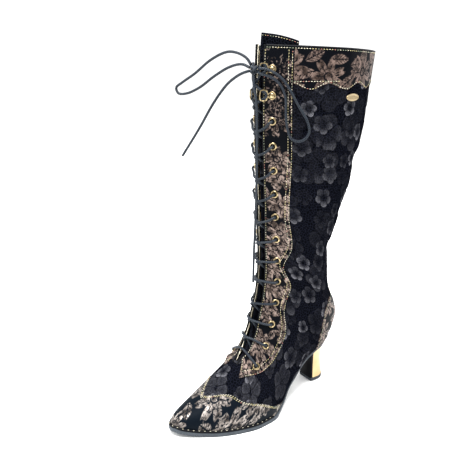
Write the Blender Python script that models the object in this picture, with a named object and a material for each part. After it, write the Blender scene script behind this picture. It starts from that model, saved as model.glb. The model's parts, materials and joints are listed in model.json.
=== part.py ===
"""A laced knee boot for the left foot, with a flared heel, as separate solids.

Sizes are millimetres in the boot's own frame: +Z up, the toe towards -Y, the outer side towards +X,
and y = 0 at the back of the heel. Each mesh is moved to the middle of the boot's box and scaled to metres.
"""
import math
from collections import namedtuple

import bmesh
import bpy
import numpy as np
from mathutils import Vector

MM = 0.001
MIDDLE = (-3.2, -109.2)    # x and y of the middle of the boot's box, with the zip's tab
GAP = 0.3                  # clearance between pieces that touch

# Thicknesses
WALL = 2.0                 # upper: leather and its lining
OVERLAY = 1.2              # printed leather panels sewn on the upper
TONGUE = 1.8
TONGUE_GAP = 0.5
INSOLE = 2.6
SOLE_FOREFOOT = 5.7
SOLE_SHANK = 4.0
WELT_HEIGHT = 2.2
WELT_WIDTH = 3.4           # how far the sole stands out around the forefoot
WELT_INSET = 1.1           # from the upper's edge to the welt
INSOLE_PLAY = 1.0          # from the upper's inside to the insole
EDGE_WAIST = 0.5           # how far it stands out at the waist and heel
SHANK_START = (-134.0, 40.0)   # where the sole begins to thin towards the shank, and over what length
WAIST_START = (-126.0, 30.0)   # where its edge begins to draw in, and over what length

# Throat and lacing
HOOK_ROWS = 2
LACE_ROWS = 14             # hooks and eyelets on each side
FIRST_HOOK_DROP = 24.3     # from the collar
EYELET_PITCH = 27.54       # along the eyestay
EYELET_RADIUS = 4.5
EYELET_HOLE = 2.4
EYELET_CREST = 3.5
EYELET_HEIGHT = 1.6
EYELET_SIDES = 8
SEAT_GAP = 0.5             # under flat metal on the curved eyestay
LACE_RADIUS = 1.5
LACE_SIDES = 4
LACE_REACH = 6.6           # from an eyelet's middle to the turn of the lace beside it
LACE_LIFT = 4.4            # of the lace's middle line above the upper
HOOK_LACE_REACH = 3.2      # of the turns between the hooks, from the middle line
LACE_START = 0.25          # rows below the first hook where the strands leave the knot
LACE_STEPS = 4             # points of a strand from one row to the next
CORD_STEP = 9.0            # between the points of a free cord
KNOT = (4.0, -139.6, 417.0)
KNOT_RADII = (5.2, 4.2, 5.6)

# Collar, zip and badge
ZIP_TOP = (-47.0, 433.0)   # y and z of the zip's two ends on the inner side
ZIP_FOOT = (-78.0, 62.0)
ZIP_TAPE_HALF = 6.5
ZIP_TEETH_HALF = 2.6
ZIP_TAPE = 0.7
ZIP_TEETH = 1.5
ZIP_SEAT = 1.05            # of the flat tape above the upper's facets
SLIDER_DROP = 12.0         # of the slider's middle below the zip's top
SLIDER = (6.0, 4.6, 2.2)   # half length, half width at the top and height
SLIDER_FOOT = 0.6          # shares of its width at the foot, and of its size and height at the bevelled face
SLIDER_FACE = 0.75
SLIDER_BEVEL = 0.7
PULL = (27.0, 3.0, 4.6, 1.4)   # length, half width at the hinge and at the foot, thickness
PULL_TOP = 0.8             # of the tab above its hinge's axis, which clears the slider as it swings
PULL_CORNER = 1.6
BADGE = (10.8, 4.1, 0.9)   # half length, half height and thickness
BADGE_PLACE = (390.0, 110.0)   # front height and girth
SEAM_GAP = 0.4             # between neighbouring panels

# The upper, section by section from the toe to the tongue's top. A section lies in the plane through the
# X direction and the line from its back point to its front point. seat is its half width at the back
# point (the sole's feather edge in the foot, nothing up the back seam), belly the largest half width, at
# the share belly_at of the way to the front. The powers round the curve: 2 is an ellipse, less is pinched.
Section = namedtuple(
    "Section", "name back_y back_z front_y front_z seat belly belly_at front_power back_power sweep")
SECTIONS = [
    Section("nose", -246.0, 12.6, -244.5, 18.0, 4.0, 4.3, 0.30, 2.2, 1.4, -5.0),
    Section("toe tip", -242.5, 11.2, -239.5, 22.0, 8.8, 9.4, 0.30, 2.2, 1.4, -4.8),
    Section("toe", -234.5, 9.0, -230.5, 25.5, 14.2, 15.2, 0.30, 2.2, 1.4, -4.0),
    Section("toe box", -221.0, 7.0, -215.0, 32.5, 21.3, 22.8, 0.28, 2.1, 1.4, -2.2),
    Section("vamp", -203.0, 6.0, -196.0, 42.8, 29.5, 31.2, 0.26, 2.0, 1.4, 0.6),
    Section("tread", -180.0, 6.0, -176.0, 57.2, 36.3, 38.3, 0.24, 1.9, 1.4, 3.6),
    Section("throat foot", -156.0, 6.0, -161.0, 73.5, 39.8, 41.8, 0.22, 1.75, 1.4, 5.6),
    Section("ball", -134.0, 6.0, -150.5, 87.5, 38.3, 41.0, 0.22, 1.65, 1.4, 6.0),
    Section("waist", -112.0, 11.6, -143.0, 102.0, 32.0, 37.0, 0.25, 1.55, 1.4, 4.2),
    Section("arch", -88.0, 29.0, -137.5, 116.0, 25.5, 33.0, 0.30, 1.45, 1.4, 2.0),
    Section("shank", -62.0, 52.0, -135.0, 128.0, 24.5, 32.0, 0.36, 1.40, 1.45, 0.8),
    Section("heel front", -38.0, 64.0, -132.0, 139.0, 25.5, 32.5, 0.40, 1.40, 1.6, 0.2),
    Section("heel seat", -27.0, 67.0, -129.3, 149.0, 22.0, 32.7, 0.42, 1.40, 1.8, 0.0),
    Section("heel round", -19.5, 68.9, -127.6, 157.0, 15.5, 33.0, 0.43, 1.40, 2.1, 0.0),
    Section("heel end", -16.6, 69.6, -127.0, 161.0, 9.0, 33.2, 0.44, 1.40, 2.4, 0.0),
    Section("heel corner", -15.5, 69.9, -126.4, 165.0, 0.0, 33.4, 0.44, 1.40, 2.7, 0.0),
    Section("heel bulge", -0.5, 98.5, -125.2, 179.0, 0.0, 34.4, 0.45, 1.40, 2.3, 0.0),
    Section("heel top", -5.0, 114.5, -124.4, 192.0, 0.0, 36.0, 0.46, 1.38, 2.15, 0.0),
    Section("tendon", -18.0, 138.0, -124.0, 208.0, 0.0, 37.5, 0.47, 1.36, 2.1, 0.0),
    Section("ankle", -22.5, 168.0, -124.4, 225.0, 0.0, 39.0, 0.48, 1.35, 2.05, 0.0),
    Section("ankle back", -24.5, 193.0, -124.9, 240.0, 0.0, 40.5, 0.49, 1.35, 2.0, 0.0),
    Section("leg", -17.5, 216.0, -125.2, 256.0, 0.0, 42.5, 0.50, 1.35, 2.0, 0.0),
    Section("calf foot", -8.5, 244.0, -126.6, 276.0, 0.0, 45.5, 0.50, 1.35, 2.0, 0.0),
    Section("calf fold", 2.6, 274.0, -128.0, 298.0, 0.0, 48.5, 0.50, 1.35, 2.0, 0.0),
    Section("calf", 8.3, 306.0, -129.3, 324.0, 0.0, 51.5, 0.50, 1.35, 2.0, 0.0),
    Section("calf bulge", 20.8, 346.0, -131.0, 357.0, 0.0, 54.5, 0.50, 1.35, 2.0, 0.0),
    Section("cuff", 24.4, 390.0, -131.5, 395.0, 0.0, 57.0, 0.50, 1.35, 2.0, 0.0),
    Section("collar", 29.0, 434.0, -130.5, 442.0, 0.0, 58.5, 0.50, 1.35, 2.0, 0.0),
    Section("tongue top", 30.0, 446.0, -129.5, 454.5, 0.0, 58.8, 0.50, 1.35, 2.0, 0.0),
]
LONG_STEP = 28.0           # sections further apart than this get one more between them
SIDE_COLUMNS = 12          # lattice columns from the front's middle line to the feather edge or back seam
SECTION_STEPS = 48
CUT_SNAP = 0.2             # a cut this near a lattice point goes through it

# Half width of the throat's opening, by section
THROAT_GAPS = {"nose": 0.8, "toe": 2.0, "vamp": 2.5, "throat foot": 3.0, "ball": 7.5, "arch": 10.5,
               "heel corner": 9.5, "ankle back": 7.5, "tongue top": 7.0}

# Panel edges. Front height is the height of a section's front point, girth the way round from there.
EyestayEdge = namedtuple("EyestayEdge", "front_height inner outer")
EYESTAY = [
    EyestayEdge(60.0, 21.0, 12.0),
    EyestayEdge(67.0, 15.0, 19.0),
    EyestayEdge(76.0, 8.0, 27.0),
    EyestayEdge(84.0, 0.0, 34.0),
    EyestayEdge(96.0, 0.0, 42.0),
    EyestayEdge(113.0, 0.0, 51.0),
    EyestayEdge(126.0, 0.0, 53.0),
    EyestayEdge(154.0, 0.0, 43.0),
    EyestayEdge(182.0, 0.0, 46.0),
    EyestayEdge(203.0, 0.0, 34.0),
    EyestayEdge(230.0, 0.0, 43.0),
    EyestayEdge(262.0, 0.0, 37.0),
    EyestayEdge(334.0, 0.0, 40.0),
    EyestayEdge(445.0, 0.0, 38.0),
]
EYELET_LINE = {80.0: 26.0, 110.0: 30.0, 156.0: 28.0, 205.0: 24.0, 253.0: 20.0, 363.0: 18.0, 445.0: 16.0}
CAP_SEAM = {0.0: -205.0, 0.14: -199.0, 0.34: -183.0, 0.55: -173.0, 0.74: -148.0, 1.0: -110.0}
COUNTER_EDGE = {66.0: -46.0, 88.0: -44.0, 108.0: -43.0, 131.0: -35.0, 143.0: -26.0, 152.0: -16.0}
CUFF_FOOT = 398.5
CUFF_WAVE = (3.4, 40.0, 38.0)   # height, length and girth of the first crest

# Hook, from its outer end over the rivet's dome to the lip beside the throat
HookRing = namedtuple("HookRing", "run half low high")
HOOK_RINGS = [
    HookRing(-4.2, 2.0, 0.0, 0.9),
    HookRing(-2.6, 3.8, 0.0, 1.7),
    HookRing(0.0, 4.4, 0.0, 2.1),
    HookRing(2.6, 3.8, 0.0, 1.7),
    HookRing(4.4, 2.1, 0.3, 1.6),
    HookRing(6.4, 2.0, 1.4, 2.6),
    HookRing(7.8, 4.6, 2.2, 3.5),
    HookRing(10.4, 4.8, 2.4, 3.7),
]

# Routes of the bow's cords: the free stops of two loops, which go back to the knot, and of two ends
LOOP_LEFT = [(-3.0, -143.0, 431.0), (-14.0, -147.0, 436.0), (-27.0, -152.0, 435.5), (-45.0, -161.0, 427.0),
             (-64.0, -171.0, 411.0), (-79.0, -178.5, 401.0), (-86.5, -182.0, 395.0), (-84.0, -181.0, 389.0),
             (-74.0, -176.0, 389.0), (-59.0, -168.0, 396.0), (-41.0, -159.5, 409.0), (-24.0, -151.0, 419.0),
             (-10.0, -145.0, 422.0)]
LOOP_RIGHT = [(14.0, -135.0, 421.0), (20.5, -126.5, 417.5), (26.5, -118.5, 410.0), (32.0, -110.5, 395.0),
              (36.0, -104.5, 381.0), (42.0, -95.0, 363.0), (43.5, -93.0, 351.0), (40.5, -96.5, 343.5),
              (36.0, -102.0, 341.0), (31.5, -108.0, 344.0), (29.5, -111.5, 353.0), (28.0, -113.5, 367.0),
              (27.5, -115.0, 388.0), (24.5, -120.0, 400.0), (18.5, -128.5, 407.0), (11.5, -136.0, 410.5)]
END_LEFT = [(-8.0, -146.0, 408.0), (-16.0, -149.0, 405.0), (-27.0, -153.0, 398.0), (-41.0, -160.0, 380.0),
            (-59.0, -169.0, 350.0), (-81.0, -179.0, 316.0)]
END_FRONT = [(6.5, -141.5, 402.0), (10.0, -140.5, 385.0), (11.0, -139.5, 352.0), (10.5, -138.5, 298.0),
             (8.0, -137.5, 243.0), (6.0, -137.0, 212.0), (5.5, -137.0, 172.0)]

# The heel's rings: share of its height, front and back edge, half width
HeelRing = namedtuple("HeelRing", "share breast_y back_y half")
HEEL_RINGS = [
    HeelRing(0.00, -37.0, -11.0, 12.4),
    HeelRing(0.12, -36.0, -12.6, 11.2),
    HeelRing(0.35, -35.8, -14.0, 10.8),
    HeelRing(0.60, -38.0, -15.2, 13.0),
    HeelRing(0.80, -42.5, -16.4, 17.0),
    HeelRing(0.93, -47.5, -17.2, 20.2),
    HeelRing(1.00, -51.0, -17.6, 21.6),
]
BREAST_HALF = 0.88         # shares of a ring's half width at the breast and at the shoulder behind it
SHOULDER_HALF = 0.96
SHOULDER_AT = 0.18         # shares of a ring's depth at the shoulder and at its widest
WIDEST_AT = 0.38
HEEL_ROUNDING = 0.85
TOP_PIECE = 5.0
BREAST_COVER = 1.0
BREAST_COVER_HALF = 0.84

Finish = namedtuple("Finish", "colour roughness metallic")
FINISHES = {
    "textile": Finish((0.008, 0.008, 0.013), 0.85, 0.0),
    "printed leather": Finish((0.10, 0.08, 0.07), 0.45, 0.2),
    "black cloth": Finish((0.006, 0.006, 0.008), 0.9, 0.0),
    "slate rubber": Finish((0.07, 0.085, 0.10), 0.6, 0.0),
    "black leather": Finish((0.008, 0.008, 0.010), 0.5, 0.0),
    "gold foil": Finish((0.80, 0.66, 0.37), 0.3, 1.0),
    "antique brass": Finish((0.45, 0.33, 0.15), 0.35, 1.0),
    "beige sock": Finish((0.55, 0.43, 0.26), 0.8, 0.0),
    "waxed cord": Finish((0.03, 0.035, 0.045), 0.55, 0.0),
}


def clear_scene():
    for thing in list(bpy.data.objects):
        bpy.data.objects.remove(thing, do_unlink=True)


def material(name):
    found = bpy.data.materials.get(name)
    if found:
        return found
    made = bpy.data.materials.new(name)
    made.use_nodes = True
    shader = made.node_tree.nodes["Principled BSDF"]
    finish = FINISHES[name]
    shader.inputs["Base Color"].default_value = (*finish.colour, 1.0)
    shader.inputs["Roughness"].default_value = finish.roughness
    shader.inputs["Metallic"].default_value = finish.metallic
    return made


def framed(point):
    """A point of the boot's own frame, in metres from the middle of its box."""
    return ((point[0] - MIDDLE[0]) * MM, (point[1] - MIDDLE[1]) * MM, point[2] * MM)


def add_mesh(name, points, faces, finish, smooth=True, axis=None):
    """One sub-part. With axis, the object's origin is put there, on its joint's axis."""
    origin = Vector(framed(axis)) if axis is not None else Vector()
    mesh = bpy.data.meshes.new(name)
    mesh.from_pydata([Vector(framed(p)) - origin for p in points], [], faces)
    mesh.validate()
    if smooth:
        mesh.shade_smooth()
        mesh.set_sharp_from_angle(angle=math.radians(40))
    mesh.materials.append(material(finish))
    thing = bpy.data.objects.new(name, mesh)
    thing.location = origin
    bpy.context.scene.collection.objects.link(thing)
    return thing


# Curves through tables

def smooth_curve(places, values):
    """Monotone cubic through a table's rows: a function of the place."""
    places = np.asarray(places, float)
    values = np.asarray(values, float).reshape(len(places), -1)
    step = np.diff(places)[:, None]
    slope = np.diff(values, axis=0) / step
    turn = np.zeros_like(values)
    turn[0], turn[-1] = slope[0], slope[-1]
    same = slope[1:] * slope[:-1] > 0
    weight_a, weight_b = 2 * step[1:] + step[:-1], step[1:] + 2 * step[:-1]
    safe_a = np.where(same, slope[:-1], 1.0)
    safe_b = np.where(same, slope[1:], 1.0)
    mean = (weight_a + weight_b) / (weight_a / safe_a + weight_b / safe_b)
    turn[1:-1] = np.where(same, mean, 0.0)

    def at(place):
        i = int(np.clip(np.searchsorted(places, place) - 1, 0, len(places) - 2))
        t = (place - places[i]) / step[i, 0]
        ease = t * t * (3 - 2 * t)
        bend = step[i] * (turn[i] * t * (1 - t) ** 2 - turn[i + 1] * t * t * (1 - t))
        return values[i] * (1 - ease) + values[i + 1] * ease + bend

    return at


def section_stations():
    """Distance of each section along the boot: the mean of the way along its back and its front."""
    ends = np.array([(s.back_y, s.back_z, s.front_y, s.front_z) for s in SECTIONS])
    back = np.linalg.norm(np.diff(ends[:, :2], axis=0), axis=1)
    front = np.linalg.norm(np.diff(ends[:, 2:], axis=0), axis=1)
    return np.concatenate([[0.0], np.cumsum((back + front) / 2)])


STATIONS = section_stations()
STATION = {s.name: place for s, place in zip(SECTIONS, STATIONS)}
SECTION_AT = smooth_curve(STATIONS, [s[1:] for s in SECTIONS])
THROAT_GAP_AT = smooth_curve([STATION[name] for name in THROAT_GAPS], list(THROAT_GAPS.values()))


# The upper's own function

def half_section(station):
    """Half of a section, from its front to its back: points (x, y, z) and their distance from the front."""
    back_y, back_z, front_y, front_z, seat, belly, at, front_power, back_power, sweep = SECTION_AT(station)
    angle = np.linspace(0.0, math.pi / 2, SECTION_STEPS)
    rise = np.cos(angle)
    upper_x = belly * (1 - rise ** front_power) ** (1 / front_power)
    upper_share = at + (1 - at) * rise
    fall = np.sin(angle[1:])
    lower_x = seat + (belly - seat) * (1 - fall ** back_power) ** (1 / back_power)
    lower_share = at * (1 - fall)
    x = np.concatenate([upper_x, lower_x])
    share = np.concatenate([upper_share, lower_share])
    points = np.column_stack([x, back_y + share * (front_y - back_y), back_z + share * (front_z - back_z)])
    distance = np.concatenate([[0.0], np.cumsum(np.linalg.norm(np.diff(points, axis=0), axis=1))])
    return points, distance, sweep


def section_row(station):
    """One row of the upper's lattice, from the inner side's end over the front to the outer side's end."""
    points, distance, sweep = half_section(station)
    gap = float(THROAT_GAP_AT(station)[0])
    girth = np.concatenate([[0.0], np.linspace(gap, distance[-1], SIDE_COLUMNS)])
    half = np.column_stack([np.interp(girth, distance, points[:, k]) for k in range(3)])
    mirrored = half[:0:-1] * (-1, 1, 1)
    row = np.vstack([mirrored, half])
    row[:, 0] += sweep
    return row, np.concatenate([-girth[:0:-1], girth])


def lattice_stations(first, last):
    """The sections between two named ones, with one more in each long step."""
    places = [p for p in STATIONS if STATION[first] <= p <= STATION[last]]
    middles = [(a + b) / 2 for a, b in zip(places, places[1:]) if b - a > LONG_STEP]
    return np.array(sorted(places + middles))


class Lattice:
    """Points of the upper's outside on a grid of sections and girth columns, with their normals."""

    def __init__(self):
        self.stations = lattice_stations("nose", "tongue top")
        rows = [section_row(s) for s in self.stations]
        self.points = np.array([r[0] for r in rows])
        self.girth = np.array([r[1] for r in rows])
        self.columns = self.points.shape[1]
        self.middle = self.columns // 2
        across = np.gradient(self.points, axis=1)
        along = np.gradient(self.points, axis=0)
        normal = np.cross(across, along)
        self.normals = normal / np.maximum(np.linalg.norm(normal, axis=2, keepdims=True), 1e-9)
        self.normals[0] += (0.0, -1.0, 0.0)
        self.normals[0] /= np.linalg.norm(self.normals[0], axis=1, keepdims=True)
        self.close_back_seam()

    def close_back_seam(self):
        """Up the back, the two ends of a row are one point with one normal."""
        for r in range(self.row("heel corner"), len(self.stations)):
            both = self.normals[r, 0] + self.normals[r, -1]
            both[0] = 0.0
            self.normals[r, 0] = self.normals[r, -1] = both / np.linalg.norm(both)

    def row(self, name):
        return int(np.argmin(abs(self.stations - STATION[name])))

    def triangles(self, first_row, last_row, first_column, last_column):
        """Faces of a stretch of the grid, each square cut on the same diagonal."""
        found = []
        for r in range(first_row, last_row):
            for c in range(first_column, last_column):
                a, b = self.index(r, c), self.index(r, c + 1)
                d, e = self.index(r + 1, c), self.index(r + 1, c + 1)
                found += [(a, b, e), (a, e, d)]
        return [t for t in found if len(set(t)) == 3]

    def index(self, r, c):
        if c == self.columns - 1 and r >= self.row("heel corner"):
            c = 0
        return r * self.columns + c

    def nose_faces(self):
        """Faces across the first section, from its foot to its front point."""
        found = []
        for c in range(self.middle):
            inner_low, inner_high = self.index(0, c), self.index(0, c + 1)
            outer_low, outer_high = (self.index(0, self.columns - 1 - k) for k in (c, c + 1))
            found.append((inner_low, outer_low, outer_high))
            if inner_high != outer_high:
                found.append((inner_low, outer_high, inner_high))
        return found

    def table(self):
        """Each point as x, y, z, its normal, its station and its girth."""
        station = np.repeat(self.stations[:, None], self.columns, axis=1)
        parts = [self.points, self.normals, station[..., None], self.girth[..., None]]
        return np.concatenate(parts, axis=2).reshape(-1, 8)

    def front_height(self, table):
        """Height of the front point of each table row's section."""
        return np.interp(table[:, 6], self.stations, [SECTION_AT(s)[3] for s in self.stations])

    def place(self, station, girth):
        """A point on the grid, and its normal, at a station and a girth."""
        r = int(np.clip(np.searchsorted(self.stations, station) - 1, 0, len(self.stations) - 2))
        t = (station - self.stations[r]) / (self.stations[r + 1] - self.stations[r])
        found = []
        for grid in (self.points, self.normals):
            ends = [[np.interp(girth, self.girth[k], grid[k, :, i]) for i in range(3)] for k in (r, r + 1)]
            found.append(np.array(ends[0]) * (1 - t) + np.array(ends[1]) * t)
        return found[0], found[1] / np.linalg.norm(found[1])


def thicken(points, normals, triangles, low, high, fixed_rim=None):
    """Closed shell between two offsets of a surface. fixed_rim gives inner points that are set apart."""
    used = sorted({i for t in triangles for i in t})
    new = {old: k for k, old in enumerate(used)}
    count = len(used)
    outer = [points[i] + normals[i] * high for i in used]
    inner = [points[i] + normals[i] * low for i in used]
    for i, place in (fixed_rim or {}).items():
        inner[new[i]] = place
    faces = [tuple(new[i] for i in t) for t in triangles]
    edges = {(t[k], t[(k + 1) % 3]) for t in faces for k in range(3)}
    shell = faces + [(a + count, c + count, b + count) for a, b, c in faces]
    for a, b in sorted(edges):
        if (b, a) not in edges:
            shell += [(b, a, a + count), (b, a + count, b + count)]
    return outer + inner, shell


def cut(table, triangles, values):
    """The part of a surface where the values are not below zero, cut straight across its triangles."""
    rows = [row for row in table]
    values = np.where(abs(np.asarray(values, float)) < CUT_SNAP, 0.0, values)
    crossing = {}

    def between(i, j):
        key = (min(i, j), max(i, j))
        if key not in crossing:
            t = values[i] / (values[i] - values[j])
            rows.append(rows[i] * (1 - t) + rows[j] * t)
            crossing[key] = len(rows) - 1
        return crossing[key]

    kept = []
    for t in triangles:
        shape = []
        for i, j in zip(t, t[1:] + t[:1]):
            if values[i] >= 0:
                shape.append(i)
            if values[i] * values[j] < 0:
                shape.append(between(i, j))
        kept += [(shape[0], shape[k], shape[k + 1]) for k in range(1, len(shape) - 1)]
    return np.array(rows), [t for t in kept if max(values[i] if i < len(values) else 1.0 for i in t) > 0]


def panel(name, table, triangles, low, high, finish):
    points, faces = thicken(table[:, :3], table[:, 3:6], triangles, low, high)
    return add_mesh(name, points, faces, finish)


# Upper and tongue

def build_upper(grid):
    """The hollow wall: its outside is the lattice without the throat, closed at the nose."""
    table = grid.table()
    top, throat = grid.row("collar"), grid.row("throat foot")
    last = grid.columns - 1
    middle = grid.middle
    faces = grid.triangles(0, throat, 0, last)
    faces += grid.triangles(throat, top, 0, middle - 1) + grid.triangles(throat, top, middle + 1, last)
    faces += grid.nose_faces()
    rim = {}
    for r in range(grid.row("heel corner") + 1):
        for c in (0, last):
            i = grid.index(r, c)
            level = table[i, 3:6] * (1, 1, 0)
            rim[i] = table[i, :3] - WALL * level / np.linalg.norm(level)
    points, shell = thicken(table[:, :3], table[:, 3:6], faces, -WALL, 0.0, rim)
    return add_mesh("upper", points, shell, "textile")


def build_tongue(grid):
    """A sheet behind the throat, from inside the vamp to an arched edge above the collar."""
    table = grid.table()
    first, top = grid.row("throat foot") - 1, grid.row("tongue top")
    reach = 3
    collar = grid.row("collar")
    for c in range(grid.columns):
        arch = 1 - ((c - grid.middle) / (reach + 1)) ** 2
        low, high = grid.index(collar, c), grid.index(top, c)
        table[high, :3] = table[low, :3] + (table[high, :3] - table[low, :3]) * max(arch, 0.1)
    faces = grid.triangles(first, top, grid.middle - reach, grid.middle + reach)
    outside = -WALL - TONGUE_GAP
    return panel("tongue", table, faces, outside - TONGUE, outside, "black cloth")


# Sole, welt, heel and insole

class FeatherEdge:
    """The upper's lower edge, at the lattice's own sections from one named section to another."""

    def __init__(self, first, last):
        self.stations = lattice_stations(first, last)
        values = np.array([SECTION_AT(s) for s in self.stations])
        self.y, self.z = values[:, 0], values[:, 1]
        self.half, self.sweep = values[:, 4], values[:, 9]

    def side(self, sign, margin):
        """Points of one side (1 outer, -1 inner), moved out by a margin for each section."""
        line = np.column_stack([self.sweep + sign * self.half, self.y])
        run = np.gradient(line, axis=0)
        out = np.column_stack([run[:, 1], -run[:, 0]]) * sign
        out /= np.linalg.norm(out, axis=1, keepdims=True)
        return line + out * np.broadcast_to(margin, len(line))[:, None]


def strip_solid(name, near, far, low, high, finish):
    """A strip between two rows of plan points, with a low and a high level for each of its steps."""
    points = []
    for a, b, bottom, top in zip(near, far, low, high):
        points += [(*a, bottom), (*b, bottom), (*b, top), (*a, top)]
    faces = [(0, 1, 2, 3)]
    for k in range(0, len(points) - 4, 4):
        for i in range(4):
            j = (i + 1) % 4
            faces.append((k + i, k + 4 + i, k + 4 + j, k + j))
    last = len(points) - 4
    faces.append((last + 3, last + 2, last + 1, last))
    return add_mesh(name, points, faces, finish)


SOLE_EDGE = FeatherEdge("nose", "heel end")
SOLE_TOP = SOLE_EDGE.z - GAP
SHANK_SHARE = np.clip((SOLE_EDGE.y - SHANK_START[0]) / SHANK_START[1], 0.0, 1.0)
SOLE_BOTTOM = SOLE_TOP - SOLE_FOREFOOT + (SOLE_FOREFOOT - SOLE_SHANK) * SHANK_SHARE
WAIST_SHARE = np.clip((SOLE_EDGE.y - WAIST_START[0]) / WAIST_START[1], 0.0, 1.0)
SOLE_MARGIN = WELT_WIDTH + (EDGE_WAIST - WELT_WIDTH) * WAIST_SHARE


def build_outsole():
    inner, outer = (SOLE_EDGE.side(sign, SOLE_MARGIN) for sign in (-1, 1))
    return strip_solid("outsole", inner, outer, SOLE_BOTTOM, SOLE_TOP, "slate rubber")


def build_welt():
    """A ledge on the sole's edge, from the waist around the toe and back."""
    edge = FeatherEdge("nose", "ball")
    near = np.vstack([edge.side(-1, WELT_INSET)[::-1], edge.side(1, WELT_INSET)])
    far = np.vstack([edge.side(-1, WELT_WIDTH)[::-1], edge.side(1, WELT_WIDTH)])
    low = np.concatenate([edge.z[::-1], edge.z])
    return strip_solid("welt", near, far, low, low + WELT_HEIGHT, "black leather")


def build_insole():
    edge = FeatherEdge("toe tip", "heel round")
    inner, outer = (edge.side(sign, -WALL - INSOLE_PLAY) for sign in (-1, 1))
    return strip_solid("insole", inner, outer, edge.z, edge.z + INSOLE, "beige sock")


def heel_outline(ring):
    """Half of a heel ring, from the breast's edge to the back: straight front, rounded back."""
    depth = ring.back_y - ring.breast_y
    wide_y = ring.breast_y + WIDEST_AT * depth
    half = [(BREAST_HALF * ring.half, ring.breast_y),
            (SHOULDER_HALF * ring.half, ring.breast_y + SHOULDER_AT * depth)]
    for angle in np.linspace(0.0, math.pi / 2, 7):
        x = ring.half * math.cos(angle) ** HEEL_ROUNDING
        half.append((x, wide_y + (ring.back_y - wide_y) * math.sin(angle)))
    return half


def heel_height(share, y):
    """Height of a heel ring: level on the top piece, sloped under the seat of the sole."""
    foot = TOP_PIECE + GAP
    return foot + share * (np.interp(y, SOLE_EDGE.y, SOLE_BOTTOM) - GAP - foot)


def ringed_solid(name, rings, finish):
    """A solid through rings of points with equal counts, given from the bottom up, closed across x."""
    count = len(rings[0])
    points = [p for ring in rings for p in ring]
    faces = []
    for k in range(len(rings) - 1):
        for i in range(count):
            j = (i + 1) % count
            faces.append((k * count + i, k * count + j, (k + 1) * count + j, (k + 1) * count + i))
    top = (len(rings) - 1) * count
    for i in range(count // 2):
        across = (i, i + 1, count - 2 - i, count - 1 - i)
        strip = list(dict.fromkeys(across))
        if len(strip) > 2:
            faces.append(tuple(strip[::-1]))
            faces.append(tuple(top + k for k in strip))
    return add_mesh(name, points, faces, finish)


def full_ring(half, height):
    """A closed ring from half of it: up the outer side and back down the inner side."""
    both = half + [(-x, y) for x, y in half[-2::-1]]
    return [(x, y, height(y)) for x, y in both]


def build_heel():
    rings = [full_ring(heel_outline(r), lambda y, r=r: heel_height(r.share, y)) for r in HEEL_RINGS]
    return ringed_solid("heel", rings, "gold foil")


def build_top_piece():
    half = heel_outline(HEEL_RINGS[0])
    rings = [full_ring(half, lambda y, z=z: z) for z in (0.0, TOP_PIECE)]
    return ringed_solid("top_piece", rings, "slate rubber")


def build_heel_breast():
    """A thin cover on the heel's front face."""
    rings = []
    for ring in HEEL_RINGS:
        x = BREAST_COVER_HALF * ring.half
        back = ring.breast_y - GAP
        front = back - BREAST_COVER
        corners = [(-x, front), (x, front), (x, back), (-x, back)]
        rings.append([(px, py, heel_height(ring.share, py)) for px, py in corners])
    points = [p for ring in rings for p in ring]
    faces = [(3, 2, 1, 0)]
    for k in range(0, len(points) - 4, 4):
        for i in range(4):
            j = (i + 1) % 4
            faces.append((k + i, k + j, k + 4 + j, k + 4 + i))
    last = len(points) - 4
    faces.append((last, last + 1, last + 2, last + 3))
    return add_mesh("heel_breast", points, faces, "black leather")


# Panels sewn on the upper

def sewn_panel(name, table, faces):
    return panel(name, table, faces, GAP, GAP + OVERLAY, "printed leather")


def by_table(values, table):
    """Values read from a short table of places and values."""
    return np.interp(values, list(table), list(table.values()))


def eyestay_edge(grid, table):
    heights = [e.front_height for e in EYESTAY]
    return np.interp(grid.front_height(table), heights, [e.outer for e in EYESTAY])


def build_eyestay(grid, name, side):
    """The strip beside the throat that carries the eyelets, with a scalloped outer edge."""
    reach = 8
    columns = sorted((grid.middle + side, grid.middle + side * reach))
    table = grid.table()
    faces = grid.triangles(grid.row("vamp"), grid.row("collar"), *columns)
    heights = [e.front_height for e in EYESTAY]
    inner = np.interp(grid.front_height(table), heights, [e.inner for e in EYESTAY])
    outer = eyestay_edge(grid, table)
    table, faces = cut(table, faces, outer - np.maximum(abs(table[:, 7]), inner))
    inner = np.interp(grid.front_height(table), heights, [e.inner for e in EYESTAY])
    table, faces = cut(table, faces, abs(table[:, 7]) - inner)
    return sewn_panel(name, table, faces)


def build_toe_cap(grid):
    table = grid.table()
    faces = grid.triangles(0, grid.row("waist"), 0, grid.columns - 1) + grid.nose_faces()
    share = abs(table[:, 7]) / np.interp(table[:, 6], grid.stations, grid.girth[:, -1])
    table, faces = cut(table, faces, by_table(share, CAP_SEAM) - table[:, 1])
    table, faces = cut(table, faces, height_over_sole(table) - WELT_HEIGHT - 2 * SEAM_GAP)
    return sewn_panel("toe_cap", table, faces)


def height_over_sole(table):
    """Height of each table row over the feather edge of its section."""
    feather = [SECTION_AT(s)[1] for s in STATIONS]
    limit = STATION["heel corner"]
    return table[:, 2] - np.interp(np.minimum(table[:, 6], limit), STATIONS, feather)


def build_counter(grid):
    """The heel's cover, around the back from one side to the other."""
    table = grid.table()
    first, top = grid.row("shank"), grid.row("ankle back")
    reach, last = 7, grid.columns - 1
    faces = grid.triangles(first, top, 0, reach) + grid.triangles(first, top, last - reach, last)
    table, faces = cut(table, faces, table[:, 1] - by_table(table[:, 2], COUNTER_EDGE))
    table, faces = cut(table, faces, height_over_sole(table) - 2 * SEAM_GAP)
    return sewn_panel("counter", table, faces)


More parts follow.
